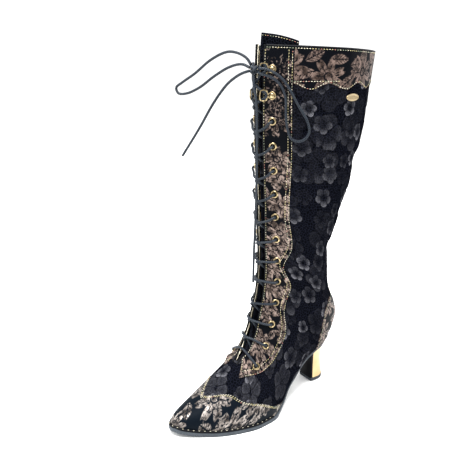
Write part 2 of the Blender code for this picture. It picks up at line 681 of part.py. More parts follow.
def zip_across(table):
    """Distance of each table row from the zip's middle line, positive behind it."""
    run = np.subtract(ZIP_TOP, ZIP_FOOT)
    run /= np.linalg.norm(run)
    return (table[:, 1] - ZIP_FOOT[0]) * run[1] - (table[:, 2] - ZIP_FOOT[1]) * run[0]


def above_cuff_foot(table):
    rise, length, crest = CUFF_WAVE
    wave = rise * np.cos(2 * math.pi * (abs(table[:, 7]) - crest) / length)
    return table[:, 2] - CUFF_FOOT - wave


def build_cuffs(grid):
    """The band under the collar: from the outer eyestay round the back to the zip, and on to the inner one."""
    first, top = grid.row("calf bulge"), grid.row("collar")
    half = ZIP_TAPE_HALF + SEAM_GAP
    last = grid.columns - 1
    table = grid.table()
    faces = grid.triangles(first, top, grid.middle + 1, last) + grid.triangles(first, top, 0, grid.middle)
    edge = table[:, 7] - eyestay_edge(grid, table) - SEAM_GAP
    values = np.where(table[:, 7] > 0, edge, zip_across(table) - half)
    table, faces = cut(table, faces, values)
    table, faces = cut(table, faces, above_cuff_foot(table))
    sewn_panel("cuff_back", table, faces)
    table = grid.table()
    faces = grid.triangles(first, top, 0, grid.middle - 1)
    table, faces = cut(table, faces, -table[:, 7] - eyestay_edge(grid, table) - SEAM_GAP)
    table, faces = cut(table, faces, -zip_across(table) - half)
    table, faces = cut(table, faces, above_cuff_foot(table))
    sewn_panel("cuff_front", table, faces)


# Zip

def inner_side_point(grid, y, z):
    """Point and normal of the inner side at a given y and z."""
    table = grid.table()
    inner = table[(table[:, 7] < 0) & (table[:, 6] > STATION["calf"])]
    nearest = inner[np.argmin((inner[:, 1] - y) ** 2 + (inner[:, 2] - z) ** 2)]
    station, girth = nearest[6], nearest[7]
    for _ in range(12):
        point, normal = grid.place(station, girth)
        ahead, _ = grid.place(station, girth + 1.0)
        station += z - point[2]
        girth += (y - point[1]) / (ahead[1] - point[1])
    return point, normal


def zip_line(grid):
    """Station and girth along the zip, at its two ends and at each section between them."""
    rows = np.arange(grid.row("waist"), grid.row("collar") + 1)
    across = zip_across(grid.table()).reshape(grid.girth.shape)
    inner = slice(0, grid.middle)
    girths = [np.interp(0.0, -across[r, inner], grid.girth[r, inner]) for r in rows]
    stations = grid.stations[rows]
    heights = [grid.place(s, g)[0][2] for s, g in zip(stations, girths)]
    foot, top = np.interp((ZIP_FOOT[1], ZIP_TOP[1]), heights, stations)
    places = [foot, *(s for s in stations if foot + ZIP_TAPE_HALF < s < top - ZIP_TAPE_HALF), top]
    return [(s, np.interp(s, stations, girths)) for s in places]


def zip_strip(grid, name, half, points_across, low, thickness):
    """A strip along the zip's line, level with the upper across its width."""
    rings = []
    for station, girth in zip_line(grid):
        edge = [grid.place(station, girth + step) for step in np.linspace(-half, half, points_across)]
        under = [point + normal * low for point, normal in edge]
        over = [point + normal * (low + thickness) for point, normal in edge]
        rings.append(under + over[::-1])
    return ringed_prism(name, rings, "black cloth")


def build_zip(grid):
    teeth_low = ZIP_SEAT + ZIP_TAPE + 2 * SEAM_GAP
    zip_strip(grid, "zip_tape", ZIP_TAPE_HALF, 3, ZIP_SEAT, ZIP_TAPE)
    zip_strip(grid, "zip_teeth", ZIP_TEETH_HALF, 2, teeth_low, ZIP_TEETH)
    share = 1 - SLIDER_DROP / (ZIP_TOP[1] - ZIP_FOOT[1])
    y, z = (foot + (top - foot) * share for foot, top in zip(ZIP_FOOT, ZIP_TOP))
    seat, normal = inner_side_point(grid, y, z)
    slider_low = teeth_low + ZIP_TEETH + SEAT_GAP
    build_slider(seat, normal, slider_low)
    build_pull(seat + normal * (slider_low + SLIDER[2] + SEAT_GAP))


def build_slider(seat, normal, low):
    """A block that narrows downwards, on the teeth."""
    run = np.array([0.0, *np.subtract(ZIP_TOP, ZIP_FOOT)])
    run -= normal * (run @ normal)
    run /= np.linalg.norm(run)
    across = np.cross(normal, run)
    half_length, half_width, height = SLIDER
    rings = []
    foot = SLIDER_FOOT
    for level, shrink in ((low, 1.0), (low + SLIDER_BEVEL * height, 1.0), (low + height, SLIDER_FACE)):
        ring = []
        for along, side in ((1, -1.0), (1, 1.0), (0, 1.0), (-1, foot), (-1, -foot), (0, -1.0)):
            flat = run * along * half_length * shrink + across * side * half_width * shrink
            ring.append(seat + flat + normal * level)
        rings.append(ring)
    return ringed_prism("zip_slider", rings, "antique brass")


def build_pull(hinge):
    """The tab hangs plumb from its hinge, which runs along Y, and swings out to the inner side."""
    length, top_half, foot_half, thickness = PULL
    outline = [(-top_half + PULL_CORNER, PULL_TOP), (top_half - PULL_CORNER, PULL_TOP), (top_half, 0.0),
               (foot_half, PULL_CORNER - length), (foot_half - PULL_CORNER, -length),
               (PULL_CORNER - foot_half, -length), (-foot_half, PULL_CORNER - length), (-top_half, 0.0)]
    rings = [[(hinge[0] + dx, hinge[1] + y, hinge[2] + z) for y, z in outline] for dx in (0.0, -thickness)]
    axis = (hinge[0] - thickness / 2, hinge[1], hinge[2])
    return ringed_prism("zip_pull", rings, "antique brass", axis)


def ringed_prism(name, rings, finish, axis=None):
    """A solid through rings of points, closed by one face at each end; the faces are turned outwards."""
    count = len(rings[0])
    points = [tuple(p) for ring in rings for p in ring]
    faces = [tuple(range(count))[::-1]]
    for k in range(0, len(points) - count, count):
        for i in range(count):
            j = (i + 1) % count
            faces.append((k + i, k + j, k + count + j, k + count + i))
    faces.append(tuple(range(len(points) - count, len(points))))
    return add_mesh(name, points, outward(points, faces), finish, axis=axis)


def outward(points, faces):
    """The faces, turned round if the volume that they enclose is negative."""
    where = np.array(points)
    volume = 0.0
    for face in faces:
        for k in range(1, len(face) - 1):
            volume += np.linalg.det(where[[face[0], face[k], face[k + 1]]])
    return faces if volume > 0 else [face[::-1] for face in faces]


# Hardware on the eyestays

def seat_frame(grid, station, girth):
    """A point of the upper with its directions towards the throat, up the boot, and outwards."""
    point, normal = grid.place(station, girth)
    nearer, _ = grid.place(station, girth - math.copysign(1.0, girth))
    inward = nearer - point
    inward -= normal * (inward @ normal)
    inward /= np.linalg.norm(inward)
    return point, inward, np.cross(normal, inward) * math.copysign(1.0, girth), normal


def lace_stations(grid):
    """Station and girth of each hook and eyelet, in equal steps down the eyestay from the collar."""
    stations = np.linspace(STATION["collar"], STATION["tread"], 400)
    girths = [by_table(SECTION_AT(s)[3], EYELET_LINE) for s in stations]
    line = np.array([grid.place(s, g)[0] for s, g in zip(stations, girths)])
    way = np.concatenate([[0.0], np.cumsum(np.linalg.norm(np.diff(line, axis=0), axis=1))])
    stops = FIRST_HOOK_DROP + EYELET_PITCH * np.arange(LACE_ROWS)
    return [(np.interp(d, way, stations), np.interp(d, way, girths)) for d in stops]


def build_eyelet(grid, name, station, girth):
    point, inward, along, normal = seat_frame(grid, station, girth)
    low = GAP + OVERLAY + SEAT_GAP
    profile = [(EYELET_RADIUS, low), (EYELET_CREST, low + EYELET_HEIGHT), (EYELET_HOLE, low)]
    points, faces = [], []
    for k in range(EYELET_SIDES):
        angle = 2 * math.pi * k / EYELET_SIDES
        ray = inward * math.cos(angle) + along * math.sin(angle)
        points += [point + ray * radius + normal * level for radius, level in profile]
        here, there = 3 * k, 3 * ((k + 1) % EYELET_SIDES)
        faces += [(here + i, there + i, there + (i + 1) % 3, here + (i + 1) % 3) for i in range(3)]
    return add_mesh(name, points, outward(points, faces), "antique brass")


def build_hook(grid, name, station, girth):
    point, inward, along, normal = seat_frame(grid, station, girth)
    low = GAP + OVERLAY + SEAT_GAP
    rings = []
    for ring in HOOK_RINGS:
        middle = point + inward * ring.run
        corners = ((-1, ring.low), (1, ring.low), (1, ring.high), (-1, ring.high))
        rings.append([middle + along * side * ring.half + normal * (low + level) for side, level in corners])
    return ringed_prism(name, rings, "antique brass")


def build_hardware(grid):
    for row, (station, girth) in enumerate(lace_stations(grid)):
        for side, word in ((1, "outer"), (-1, "inner")):
            if row < HOOK_ROWS:
                build_hook(grid, f"lace_hook_{word}_{row + 1}", station, side * girth)
            else:
                build_eyelet(grid, f"eyelet_{word}_{row - HOOK_ROWS + 1}", station, side * girth)


def build_badge(grid):
    """A plain oval plate on the outer side, below the cuff."""
    height, girth = BADGE_PLACE
    stations = np.linspace(STATION["calf"], STATION["collar"], 200)
    station = np.interp(height, [SECTION_AT(s)[3] for s in stations], stations)
    point, forward, along, normal = seat_frame(grid, station, girth)
    half_length, half_height, thickness = BADGE
    rings = []
    for level in (SEAT_GAP, SEAT_GAP + thickness):
        ring = []
        for angle in np.linspace(0.0, 2 * math.pi, 12, endpoint=False):
            flat = forward * half_length * math.cos(angle) + along * half_height * math.sin(angle)
            ring.append(point + flat + normal * level)
        rings.append(ring)
    return ringed_prism("badge_plate", rings, "antique brass")


# Lace

def smooth_path(stops, step):
    """Points in equal steps on a smooth curve through the stops."""
    stops = np.array(stops, float)
    way = np.concatenate([[0.0], np.cumsum(np.sqrt(np.linalg.norm(np.diff(stops, axis=0), axis=1)))])
    slope = np.gradient(stops, way, axis=0)
    fine = []
    for i in range(len(stops) - 1):
        span = way[i + 1] - way[i]
        for t in np.linspace(0.0, 1.0, 24, endpoint=False):
            ease = t * t * (3 - 2 * t)
            bend = span * (slope[i] * t * (1 - t) ** 2 - slope[i + 1] * t * t * (1 - t))
            fine.append(stops[i] * (1 - ease) + stops[i + 1] * ease + bend)
    fine = np.array(fine + [stops[-1]])
    length = np.concatenate([[0.0], np.cumsum(np.linalg.norm(np.diff(fine, axis=0), axis=1))])
    places = np.linspace(0.0, length[-1], max(int(round(length[-1] / step)), 2) + 1)
    return np.column_stack([np.interp(places, length, fine[:, k]) for k in range(3)])


def tube(name, path, finish):
    """A closed tube with flat ends along a path."""
    path = np.array(path)
    run = np.gradient(path, axis=0)
    run /= np.linalg.norm(run, axis=1, keepdims=True)
    side = np.cross(run[0], (0.0, -1.0, 0.0))
    rings = []
    for point, ahead in zip(path, run):
        side = side - ahead * (side @ ahead)
        side /= np.linalg.norm(side)
        other = np.cross(ahead, side)
        angles = 2 * math.pi * np.arange(LACE_SIDES) / LACE_SIDES
        rings.append([point + LACE_RADIUS * (side * math.cos(a) + other * math.sin(a)) for a in angles])
    return ringed_prism(name, rings, finish)


def zigzag(grid, first_side, last_row):
    """The lace's way down the throat: it crosses between the rows and turns beside each hook or eyelet.

    Past the lowest row it crosses once more on the level, as a bar.
    """
    rows = lace_stations(grid)
    stations = [station for station, _ in rows]
    turns = [girth - LACE_REACH for _, girth in rows]
    turns[:HOOK_ROWS] = [HOOK_LACE_REACH] * HOOK_ROWS
    path = []
    for place in np.arange(LACE_START, last_row, 1 / LACE_STEPS):
        station = np.interp(place, np.arange(LACE_ROWS), stations)
        turn = np.interp(place, np.arange(LACE_ROWS), turns)
        point, normal = grid.place(station, first_side * turn * math.cos(math.pi * place))
        path.append(point + normal * LACE_LIFT)
    return path


def build_lace_crossings(grid):
    """Both strands of the lace and the bar under them, joined where they cross."""
    first = tube("lace_crossings", zigzag(grid, 1, LACE_ROWS), "waxed cord")
    second = tube("second_strand", zigzag(grid, -1, LACE_ROWS - 1), "waxed cord")
    join = first.modifiers.new("crossings", "BOOLEAN")
    join.operation = "UNION"
    join.object = second
    second.hide_render = True
    second.display_type = "WIRE"
    return first


def build_cord(name, stops):
    path = smooth_path(stops, CORD_STEP)
    curve = bpy.data.curves.new(name, "CURVE")
    curve.dimensions = "3D"
    curve.bevel_depth = LACE_RADIUS * MM
    curve.bevel_resolution = 2
    curve.use_fill_caps = True
    curve.materials.append(material("waxed cord"))
    spline = curve.splines.new("POLY")
    spline.points.add(len(path) - 1)
    for point, place in zip(spline.points, path):
        point.co = (*framed(place), 1.0)
    thing = bpy.data.objects.new(name, curve)
    bpy.context.scene.collection.objects.link(thing)
    return thing


def build_knot():
    shape = bmesh.new()
    bmesh.ops.create_icosphere(shape, subdivisions=2, radius=1.0)
    points = [tuple(np.multiply(v.co, KNOT_RADII) + KNOT) for v in shape.verts]
    faces = [tuple(v.index for v in f.verts) for f in shape.faces]
    shape.free()
    return add_mesh("lace_knot", points, faces, "waxed cord")


def knot_exit(stop):
    """The point just off the knot, on the way to a stop."""
    way = np.subtract(stop, KNOT)
    way /= np.linalg.norm(way)
    return KNOT + way * (1 / np.linalg.norm(way / KNOT_RADII) + GAP)


def build_bow():
    build_knot()
    for name, stops in (("lace_loop_left", LOOP_LEFT), ("lace_loop_right", LOOP_RIGHT)):
        build_cord(name, [knot_exit(stops[0]), *stops, knot_exit(stops[-1])])
    for name, stops in (("lace_end_left", END_LEFT), ("lace_end_front", END_FRONT)):
        build_cord(name, [knot_exit(stops[0]), *stops])


def main():
    clear_scene()
    grid = Lattice()
    build_outsole()
    build_heel()
    build_heel_breast()
    build_top_piece()
    build_welt()
    build_insole()
    build_upper(grid)
    build_tongue(grid)
    build_toe_cap(grid)
    build_counter(grid)
    build_eyestay(grid, "eyestay_lateral", 1)
    build_eyestay(grid, "eyestay_medial", -1)
    build_cuffs(grid)
    build_zip(grid)
    build_hardware(grid)
    build_badge(grid)
    build_lace_crossings(grid)
    build_bow()


main()
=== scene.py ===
# %% [markdown]
# # A laced knee boot, dressed
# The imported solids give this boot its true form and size. Here each piece gets the surface that the eye
# expects: an embossed textile, foil-printed leather, thread, brass and waxed cord. The solids could only
# be painted, but cloth edges, stitches and a lace that runs through its eyelets need finer meshes, so most
# pieces are made again on the same form, and each one stands for its solid.

# %% Load the frame
import json
import math
from collections import namedtuple
from functools import partial

import bmesh
import bpy
import numpy as np
from mathutils import Matrix, Vector


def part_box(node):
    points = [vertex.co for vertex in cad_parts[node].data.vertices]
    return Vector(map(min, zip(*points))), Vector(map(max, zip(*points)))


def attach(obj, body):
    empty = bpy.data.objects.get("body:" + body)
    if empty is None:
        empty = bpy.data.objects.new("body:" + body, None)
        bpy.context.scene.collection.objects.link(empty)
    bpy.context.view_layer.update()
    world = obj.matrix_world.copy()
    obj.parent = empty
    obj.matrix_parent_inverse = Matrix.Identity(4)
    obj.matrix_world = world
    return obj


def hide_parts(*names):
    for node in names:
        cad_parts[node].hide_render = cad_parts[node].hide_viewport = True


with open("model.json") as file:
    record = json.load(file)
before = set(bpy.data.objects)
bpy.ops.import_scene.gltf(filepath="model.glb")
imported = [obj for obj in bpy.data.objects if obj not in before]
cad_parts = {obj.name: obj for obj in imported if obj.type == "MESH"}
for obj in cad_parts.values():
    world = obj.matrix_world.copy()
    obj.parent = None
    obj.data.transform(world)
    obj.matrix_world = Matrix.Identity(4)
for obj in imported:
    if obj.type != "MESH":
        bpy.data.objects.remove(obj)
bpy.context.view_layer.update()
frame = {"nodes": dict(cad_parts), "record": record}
MM = 0.001
MIDDLE = np.array((-3.2, -109.2, 0))  # the boot's own frame, in mm, has its origin behind the heel
print("frame:", len(frame["nodes"]), "nodes")

# %% [markdown]
# ## Helpers for every piece
# A piece is a list of points in millimetres in the boot's own frame, with +Z up, the toe towards -Y and the
# outer side towards +X. One function makes it a mesh at the origin, in metres. It can carry a UV map named
# "mm", which holds real millimetres, so that a pattern keeps its size on every panel. A finished piece rides
# on a body of the frame and stands for its solids. Materials are built from nodes: one function adds a node
# with its settings and inputs, and two finish the many surfaces that mix two tones and raise a grain.

# %% Mesh helpers
def framed(points):
    """Points of the boot's own frame, in mm, as metres in the shared frame."""
    return (np.asarray(points, float) - MIDDLE) * MM


def new_mesh(name, points, faces, sharp=None):
    """A smooth mesh from points in metres; edges steeper than sharp, in degrees, stay sharp."""
    mesh = bpy.data.meshes.new(name)
    mesh.from_pydata(points.tolist(), [], [tuple(int(i) for i in face) for face in faces])
    mesh.shade_smooth()
    if sharp:
        mesh.set_sharp_from_angle(angle=math.radians(sharp))
    return mesh


def show(name, data):
    """An object in the scene, at the origin."""
    made = bpy.data.objects.new(name, data)
    bpy.context.scene.collection.objects.link(made)
    return made


def add_piece(name, points, faces, materials, uv=None, face_material=None, sharp=None):
    """A piece from points in mm. uv holds one pair of mm for each point."""
    mesh = new_mesh(name, framed(np.reshape(points, (-1, 3))), faces, sharp)
    for material in materials if isinstance(materials, list) else [materials]:
        mesh.materials.append(material)
    if face_material is not None:
        mesh.polygons.foreach_set("material_index", np.asarray(face_material, np.int32))
    if uv is not None:
        corners = np.zeros(len(mesh.loops), np.int32)
        mesh.loops.foreach_get("vertex_index", corners)
        pairs = np.reshape(uv, (-1, 2)).astype(np.float32)[corners]
        mesh.uv_layers.new(name="mm").data.foreach_set("uv", pairs.ravel())
    return show(name, mesh)


def settle(piece, slot, *nodes, body="boot"):
    """A finished piece rides on a body and stands for its nodes, if any. Its slot is not used."""
    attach(piece, body)
    if nodes:
        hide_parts(*nodes)
    return piece


print("the boot's own origin, in metres:", framed((0, 0, 0)).round(4))

# %% Node helpers
# the setting that a second word in a node's kind is for
MODE = {"Math": "operation", "VectorMath": "operation", "MapRange": "interpolation_type", "Mix": "data_type"}

def hex_colour(code):
    """An sRGB hex value as linear red, green, blue and alpha."""
    channels = [int(code[k:k + 2], 16) / 255 for k in (1, 3, 5)]
    linear = [c / 12.92 if c <= 0.04045 else ((c + 0.055) / 1.055) ** 2.4 for c in channels]
    return (*linear, 1.0)


def feed(node, sockets):
    """Sets a node's inputs, by place or name. A value is a number, a hex colour, a socket, or a node, which
    gives its first live output."""
    for key, value in sockets.items():
        socket = node.inputs[key if isinstance(key, int) else key.replace("_", " ")]
        if isinstance(value, bpy.types.Node):
            value = next(output for output in value.outputs if output.enabled)
        if isinstance(value, bpy.types.NodeSocket):
            node.id_data.links.new(value, socket)
        else:
            socket.default_value = hex_colour(value) if str(value).startswith("#") else value


def add_node(tree, kind, *inputs, **named):
    """Adds a node. A second word in kind is its mode, and a kind without the word Node is a shader node's.
    Names with a capital are inputs, the others are settings."""
    kind, *mode = kind.split()
    made = tree.nodes.new(kind if "Node" in kind else "ShaderNode" + kind)
    if mode:
        setattr(made, MODE[kind], mode[0])
    for key, value in named.items():
        if key[0].islower():
            setattr(made, key, value)
    feed(made, dict(enumerate(inputs)))
    feed(made, {key: value for key, value in named.items() if key[0].isupper()})
    return made


def new_material(name):
    """A material, a function that adds nodes to it, and its shader."""
    made = bpy.data.materials.new(name)
    made.use_nodes = True
    return made, partial(add_node, made.node_tree), made.node_tree.nodes["Principled BSDF"]


def coat(shader, tones, grain, **finish):
    """Finishes a surface: a share between two tones, a height with its strength and its depth in mm, and
    the shader's other inputs."""
    share, dark, light = tones
    height, strength, depth = grain
    colour = add_node(shader.id_data, "Mix RGBA", Factor=share, A=dark, B=light)
    bump = add_node(shader.id_data, "Bump", Height=height, Strength=strength, Distance=depth * MM)
    feed(shader, {"Base Color": colour, "Normal": bump, **finish})
    return bump


def mottled(name, tone, dark, light, grain, strength, depth, **finish):
    """A material of two tones shared out by one pattern, with a grain raised by another. A pattern is a
    texture node, its repeats in a mm, alike or along x, y and z, and its detail."""
    material, add, shader = new_material(name)
    place = add("TexCoord").outputs["Object"]
    patterns = []
    for kind, repeats, detail in (tone, grain):
        scaled = add("VectorMath MULTIPLY", place, tuple(np.broadcast_to(repeats, 3) / MM))
        patterns.append(add(kind, Vector=scaled, Scale=1.0, Detail=detail))
    coat(shader, (patterns[0], dark, light), (patterns[1], strength, depth), **finish)
    return material


print("middle grey in linear light:", round(hex_colour("#808080")[0], 3))

# %% [markdown]
# ## Camera, light and floor
# The camera looks from the front and the outer side, a little down. Its place was worked out from the
# outline of the boot in the picture. Large soft lights, an even white room and a pale floor give a plain
# studio look. A darker room would model the forms more, but the black cloth would then lose its detail.

# %% Camera, lights and floor
CAMERA_PLACE = (479.3, -516.3, 436)
CAMERA_RIGHT = Vector((0.5807, 0.8141, 0))
CAMERA_PITCH = math.radians(17.6)
CAMERA_LENS = 44  # on a 36 mm sensor
Light = namedtuple("Light", "name place size power")  # place in mm, size in metres, power in watts
LIGHTS = [
    Light("key", (250, -550, 1900), 0.9, 75),
    Light("fill", (-900, -1300, 800), 1.4, 12),
    Light("rim", (500, 1200, 1100), 1.2, 12),
]
LIGHT_AIM = (0, -100, 200)
FLOOR_HALF = 6000
FLOOR_DROP = 0.1  # under the sole

def add_camera():
    level = Vector((-CAMERA_RIGHT.y, CAMERA_RIGHT.x, 0.0))
    ahead = level * math.cos(CAMERA_PITCH) - Vector((0, 0, math.sin(CAMERA_PITCH)))
    turn = Matrix((CAMERA_RIGHT, CAMERA_RIGHT.cross(ahead), -ahead)).transposed().to_4x4()
    camera = show("camera", bpy.data.cameras.new("camera"))
    camera.data.lens = CAMERA_LENS
    camera.matrix_world = Matrix.Translation(framed(CAMERA_PLACE)) @ turn
    bpy.context.scene.camera = camera


def add_lights():
    for light in LIGHTS:
        lamp = show(light.name, bpy.data.lights.new(light.name, "AREA"))
        lamp.data.size = light.size
        lamp.data.energy = light.power
        lamp.location = framed(light.place)
        aim = Vector(framed(LIGHT_AIM)) - lamp.location
        lamp.rotation_euler = aim.to_track_quat("-Z", "Y").to_euler()
    world = bpy.data.worlds.new("studio")
    world.use_nodes = True
    feed(world.node_tree.nodes["Background"], {"Color": "#ffffff", "Strength": 1.0})
    bpy.context.scene.world = world
    bpy.context.scene.view_settings.view_transform = "Standard"
    bpy.context.scene.view_settings.look = "Medium High Contrast"


def add_floor():
    """Seamless paper: white and matt."""
    material, _, shader = new_material("seamless_paper_matt")
    feed(shader, {"Base Color": "#fbfbfa", "Roughness": 0.9, "Specular IOR Level": 0.1})
    corners = [(-1, -1), (1, -1), (1, 1), (-1, 1)]
    points = [(x * FLOOR_HALF, y * FLOOR_HALF, -FLOOR_DROP) for x, y in corners]
    add_piece("floor", points, [(0, 1, 2, 3)], material)


add_camera()
add_lights()
add_floor()
print("camera at", [round(v, 3) for v in bpy.context.scene.camera.location])

# %% [markdown]
# ## The waxed cord
# The lace is a round braided cotton cord, waxed, about 3 mm thick. Its braid runs in two crossing
# spirals, which a pair of slanted waves on the UV map gives, and the wax leaves a soft bluish gloss on the
# high threads. A curve with a bevel would be quicker, but a tube made here carries the UV map that
# the braid needs.

# %% Cord material
LACE_RADIUS = 1.5
BRAID_PITCH = 2.2  # mm along the cord; the true 1 mm would not show in the picture
BRAID_STRANDS = 3  # round the cord, in each direction

def make_waxed_cord():
    """Waxed cotton braid: dark slate, with a dull gloss on the raised threads."""
    material, add, shader = new_material("waxed_cotton_braid")
    place = add("SeparateXYZ", add("UVMap", uv_map="mm"))
    waves = []
    for turn in (1, -1):
        along = add("Math MULTIPLY", place.outputs[0], 2 * math.pi / BRAID_PITCH)
        slant = add("Math MULTIPLY_ADD", place.outputs[1], turn * BRAID_STRANDS / LACE_RADIUS, along)
        waves.append(add("Math SINE", slant))
    braid = add("Math MAXIMUM", *waves)
    level = add("MapRange", braid, -0.6, 1.0)
    coat(shader, (level, "#07090d", "#222a33"), (level, 0.5, 0.4), Roughness=0.5, Specular_IOR_Level=0.3)
    return material


WAXED_CORD = make_waxed_cord()
print("cord:", 2 * LACE_RADIUS, "mm thick")

# %% Paths
PATH_FINE = 24  # points of a smooth path from one stop to the next

def unit(vectors):
    return vectors / np.linalg.norm(vectors, axis=-1, keepdims=True)


def way_along(line):
    """Distance of each point along a line from its first one."""
    return np.concatenate([[0.0], np.cumsum(np.linalg.norm(np.diff(line, axis=0), axis=1))])


def read_line(places, way, line):
    """Rows of a line at places along it."""
    return np.column_stack([np.interp(places, way, column) for column in line.T])


def even_steps(line, step):
    """A line with its points in equal steps."""
    way = way_along(line)
    count = max(int(round(way[-1] / step)), 2)
    return read_line(np.linspace(0.0, way[-1], count + 1), way, line)


def ease_between(start, end, leave, arrive, t):
    """A cubic from start to end as t goes from 0 to 1, with its slopes at both ends."""
    ease = t * t * (3 - 2 * t)
    return start * (1 - ease) + end * ease + leave * t * (1 - t) ** 2 - arrive * t * t * (1 - t)


def smooth_path(stops, step):
    """Points in equal steps on a smooth curve through the stops."""
    stops = np.array(stops, float)
    way = np.concatenate([[0.0], np.cumsum(np.sqrt(np.linalg.norm(np.diff(stops, axis=0), axis=1)))])
    slope = np.gradient(stops, way, axis=0)
    t = np.linspace(0.0, 1.0, PATH_FINE, endpoint=False)[:, None]
    fine = [ease_between(stops[i], stops[i + 1], span * slope[i], span * slope[i + 1], t)
            for i, span in enumerate(np.diff(way))]
    return even_steps(np.vstack([*fine, stops[-1:]]), step)


print("paths:", PATH_FINE, "points from one stop to the next")

# %% Tubes and solids
TUBE_START = (0, -1, 0.3)  # a direction that no path starts in

def circle(sides):
    """Angles in equal steps all round."""
    return 2 * math.pi * np.arange(sides) / sides


def tube_rings(path, radius, sides):
    """Rings of points round a path, with a pair of mm for each: the way along and the way round."""
    run = unit(np.gradient(path, axis=0))
    side = np.cross(run[0], TUBE_START)
    angle = circle(sides)
    rings = []
    for point, ahead in zip(path, run):
        side = unit(side - ahead * (side @ ahead))
        ring = np.outer(np.cos(angle), side) + np.outer(np.sin(angle), np.cross(ahead, side))
        rings.append(point + ring * radius)
    return rings, np.stack(np.meshgrid(way_along(path), radius * angle, indexing="ij"), axis=-1)


def ring_faces(rings, count):
    """Faces between rings of equal counts of points."""
    corner = np.arange(rings * count).reshape(rings, count)
    after = np.roll(corner, -1, axis=1)
    return np.stack([corner[:-1], after[:-1], after[1:], corner[1:]], axis=-1).reshape(-1, 4).tolist()


def prism(rings):
    """Points and faces of a solid through rings of equal counts, closed at both ends and facing outwards."""
    rings = np.asarray(rings, float)
    count = rings.shape[1]
    points = rings.reshape(-1, 3)
    first, last = list(range(count))[::-1], list(range(len(points) - count, len(points)))
    faces = [first, *ring_faces(len(rings), count), last]
    arms = points - points.mean(axis=0)
    volume = sum(arms[f[0]] @ np.cross(arms[a], arms[b]) for f in faces for a, b in zip(f[1:], f[2:]))
    return points, faces if volume > 0 else [f[::-1] for f in faces]


def tube(name, path, radius, material, sides=10):
    """A closed tube along a path."""
    rings, uv = tube_rings(path, radius, sides)
    return add_piece(name, *prism(rings), material, uv)

# %% [markdown]
# ## The bow
# Two loops and two ends leave the knot at the top of the lacing. Their routes keep within a few
# millimetres of the solids': one loop and one end swing free on the inner side, the other loop lies on the
# shaft, and the long end hangs down the front. A simulation could drape them, but a bow holds the shape
# that it was tied in, so the stops are listed one by one.

# %% Bow: routes and cords
KNOT = np.array((4, -139.6, 417))
KNOT_RADII = np.array((5.2, 4.2, 5.6))
KNOT_CLEARANCE = 0.3
CORD_STEP = 2
LOOP_LEFT = [(-4, -143, 428), (-15, -147, 433.5), (-28, -152, 434.5), (-45, -161, 426.5),
             (-64, -171, 411), (-79, -178.5, 401), (-86.5, -182, 395), (-84, -181, 389),
             (-74, -176, 389), (-59, -168, 396), (-41, -159.5, 409), (-24, -151, 419),
             (-10, -145, 422)]
LOOP_RIGHT = [(14, -135, 418), (20.5, -126.5, 414.3), (26.5, -118.5, 407), (32, -110.5, 393.5),
              (36, -104.5, 381), (42, -95, 363), (43.5, -93, 351), (40.5, -96.5, 343.5),
              (36, -102, 341), (31.5, -108, 344), (29.5, -111.5, 353), (28, -113.5, 367),
              (27.5, -115, 389), (24.5, -120, 401.5), (18.5, -128.5, 409.5), (11.5, -136, 412.5)]
END_LEFT = [(-7, -146, 413), (-16, -149, 408.5), (-27, -153, 400), (-41, -160, 381),
            (-59, -169, 350), (-81, -179, 316)]
END_FRONT = [(6.5, -141.5, 402), (10, -140.5, 385), (11, -139.5, 352), (10.5, -138.5, 298),
             (8, -137.5, 243), (6, -137, 212), (5.5, -137, 172)]

def knot_exit(stop):
    """The point just off the knot, on the way to a stop."""
    way = unit(np.subtract(stop, KNOT))
    return KNOT + way * (1 / np.linalg.norm(way / KNOT_RADII) + KNOT_CLEARANCE)


def add_bow_cord(node, stops, back_to_knot):
    """A cord from the knot through its stops; a loop then goes back to the knot."""
    ends = [knot_exit(stops[-1])] if back_to_knot else []
    path = smooth_path([knot_exit(stops[0]), *stops, *ends], CORD_STEP)
    cord = tube(node.replace("lace", "bow"), path, LACE_RADIUS, WAXED_CORD)
    settle(cord, "waxed_cord", node)


for node, stops in (("lace_loop_left", LOOP_LEFT), ("lace_loop_right", LOOP_RIGHT)):
    add_bow_cord(node, stops, True)
for node, stops in (("lace_end_left", END_LEFT), ("lace_end_front", END_FRONT)):
    add_bow_cord(node, stops, False)

# %% [markdown]
# ## The form of the last
# The solids' upper runs through sections from the toe to the collar. The same table gives the same form
# here, read much more finely. A place on it is a station, in mm along the boot, and a girth, in mm round
# from the front's middle line, positive on the outer side. Every panel, seam and eyelet is placed by these
# two numbers, so all of them follow one skin.

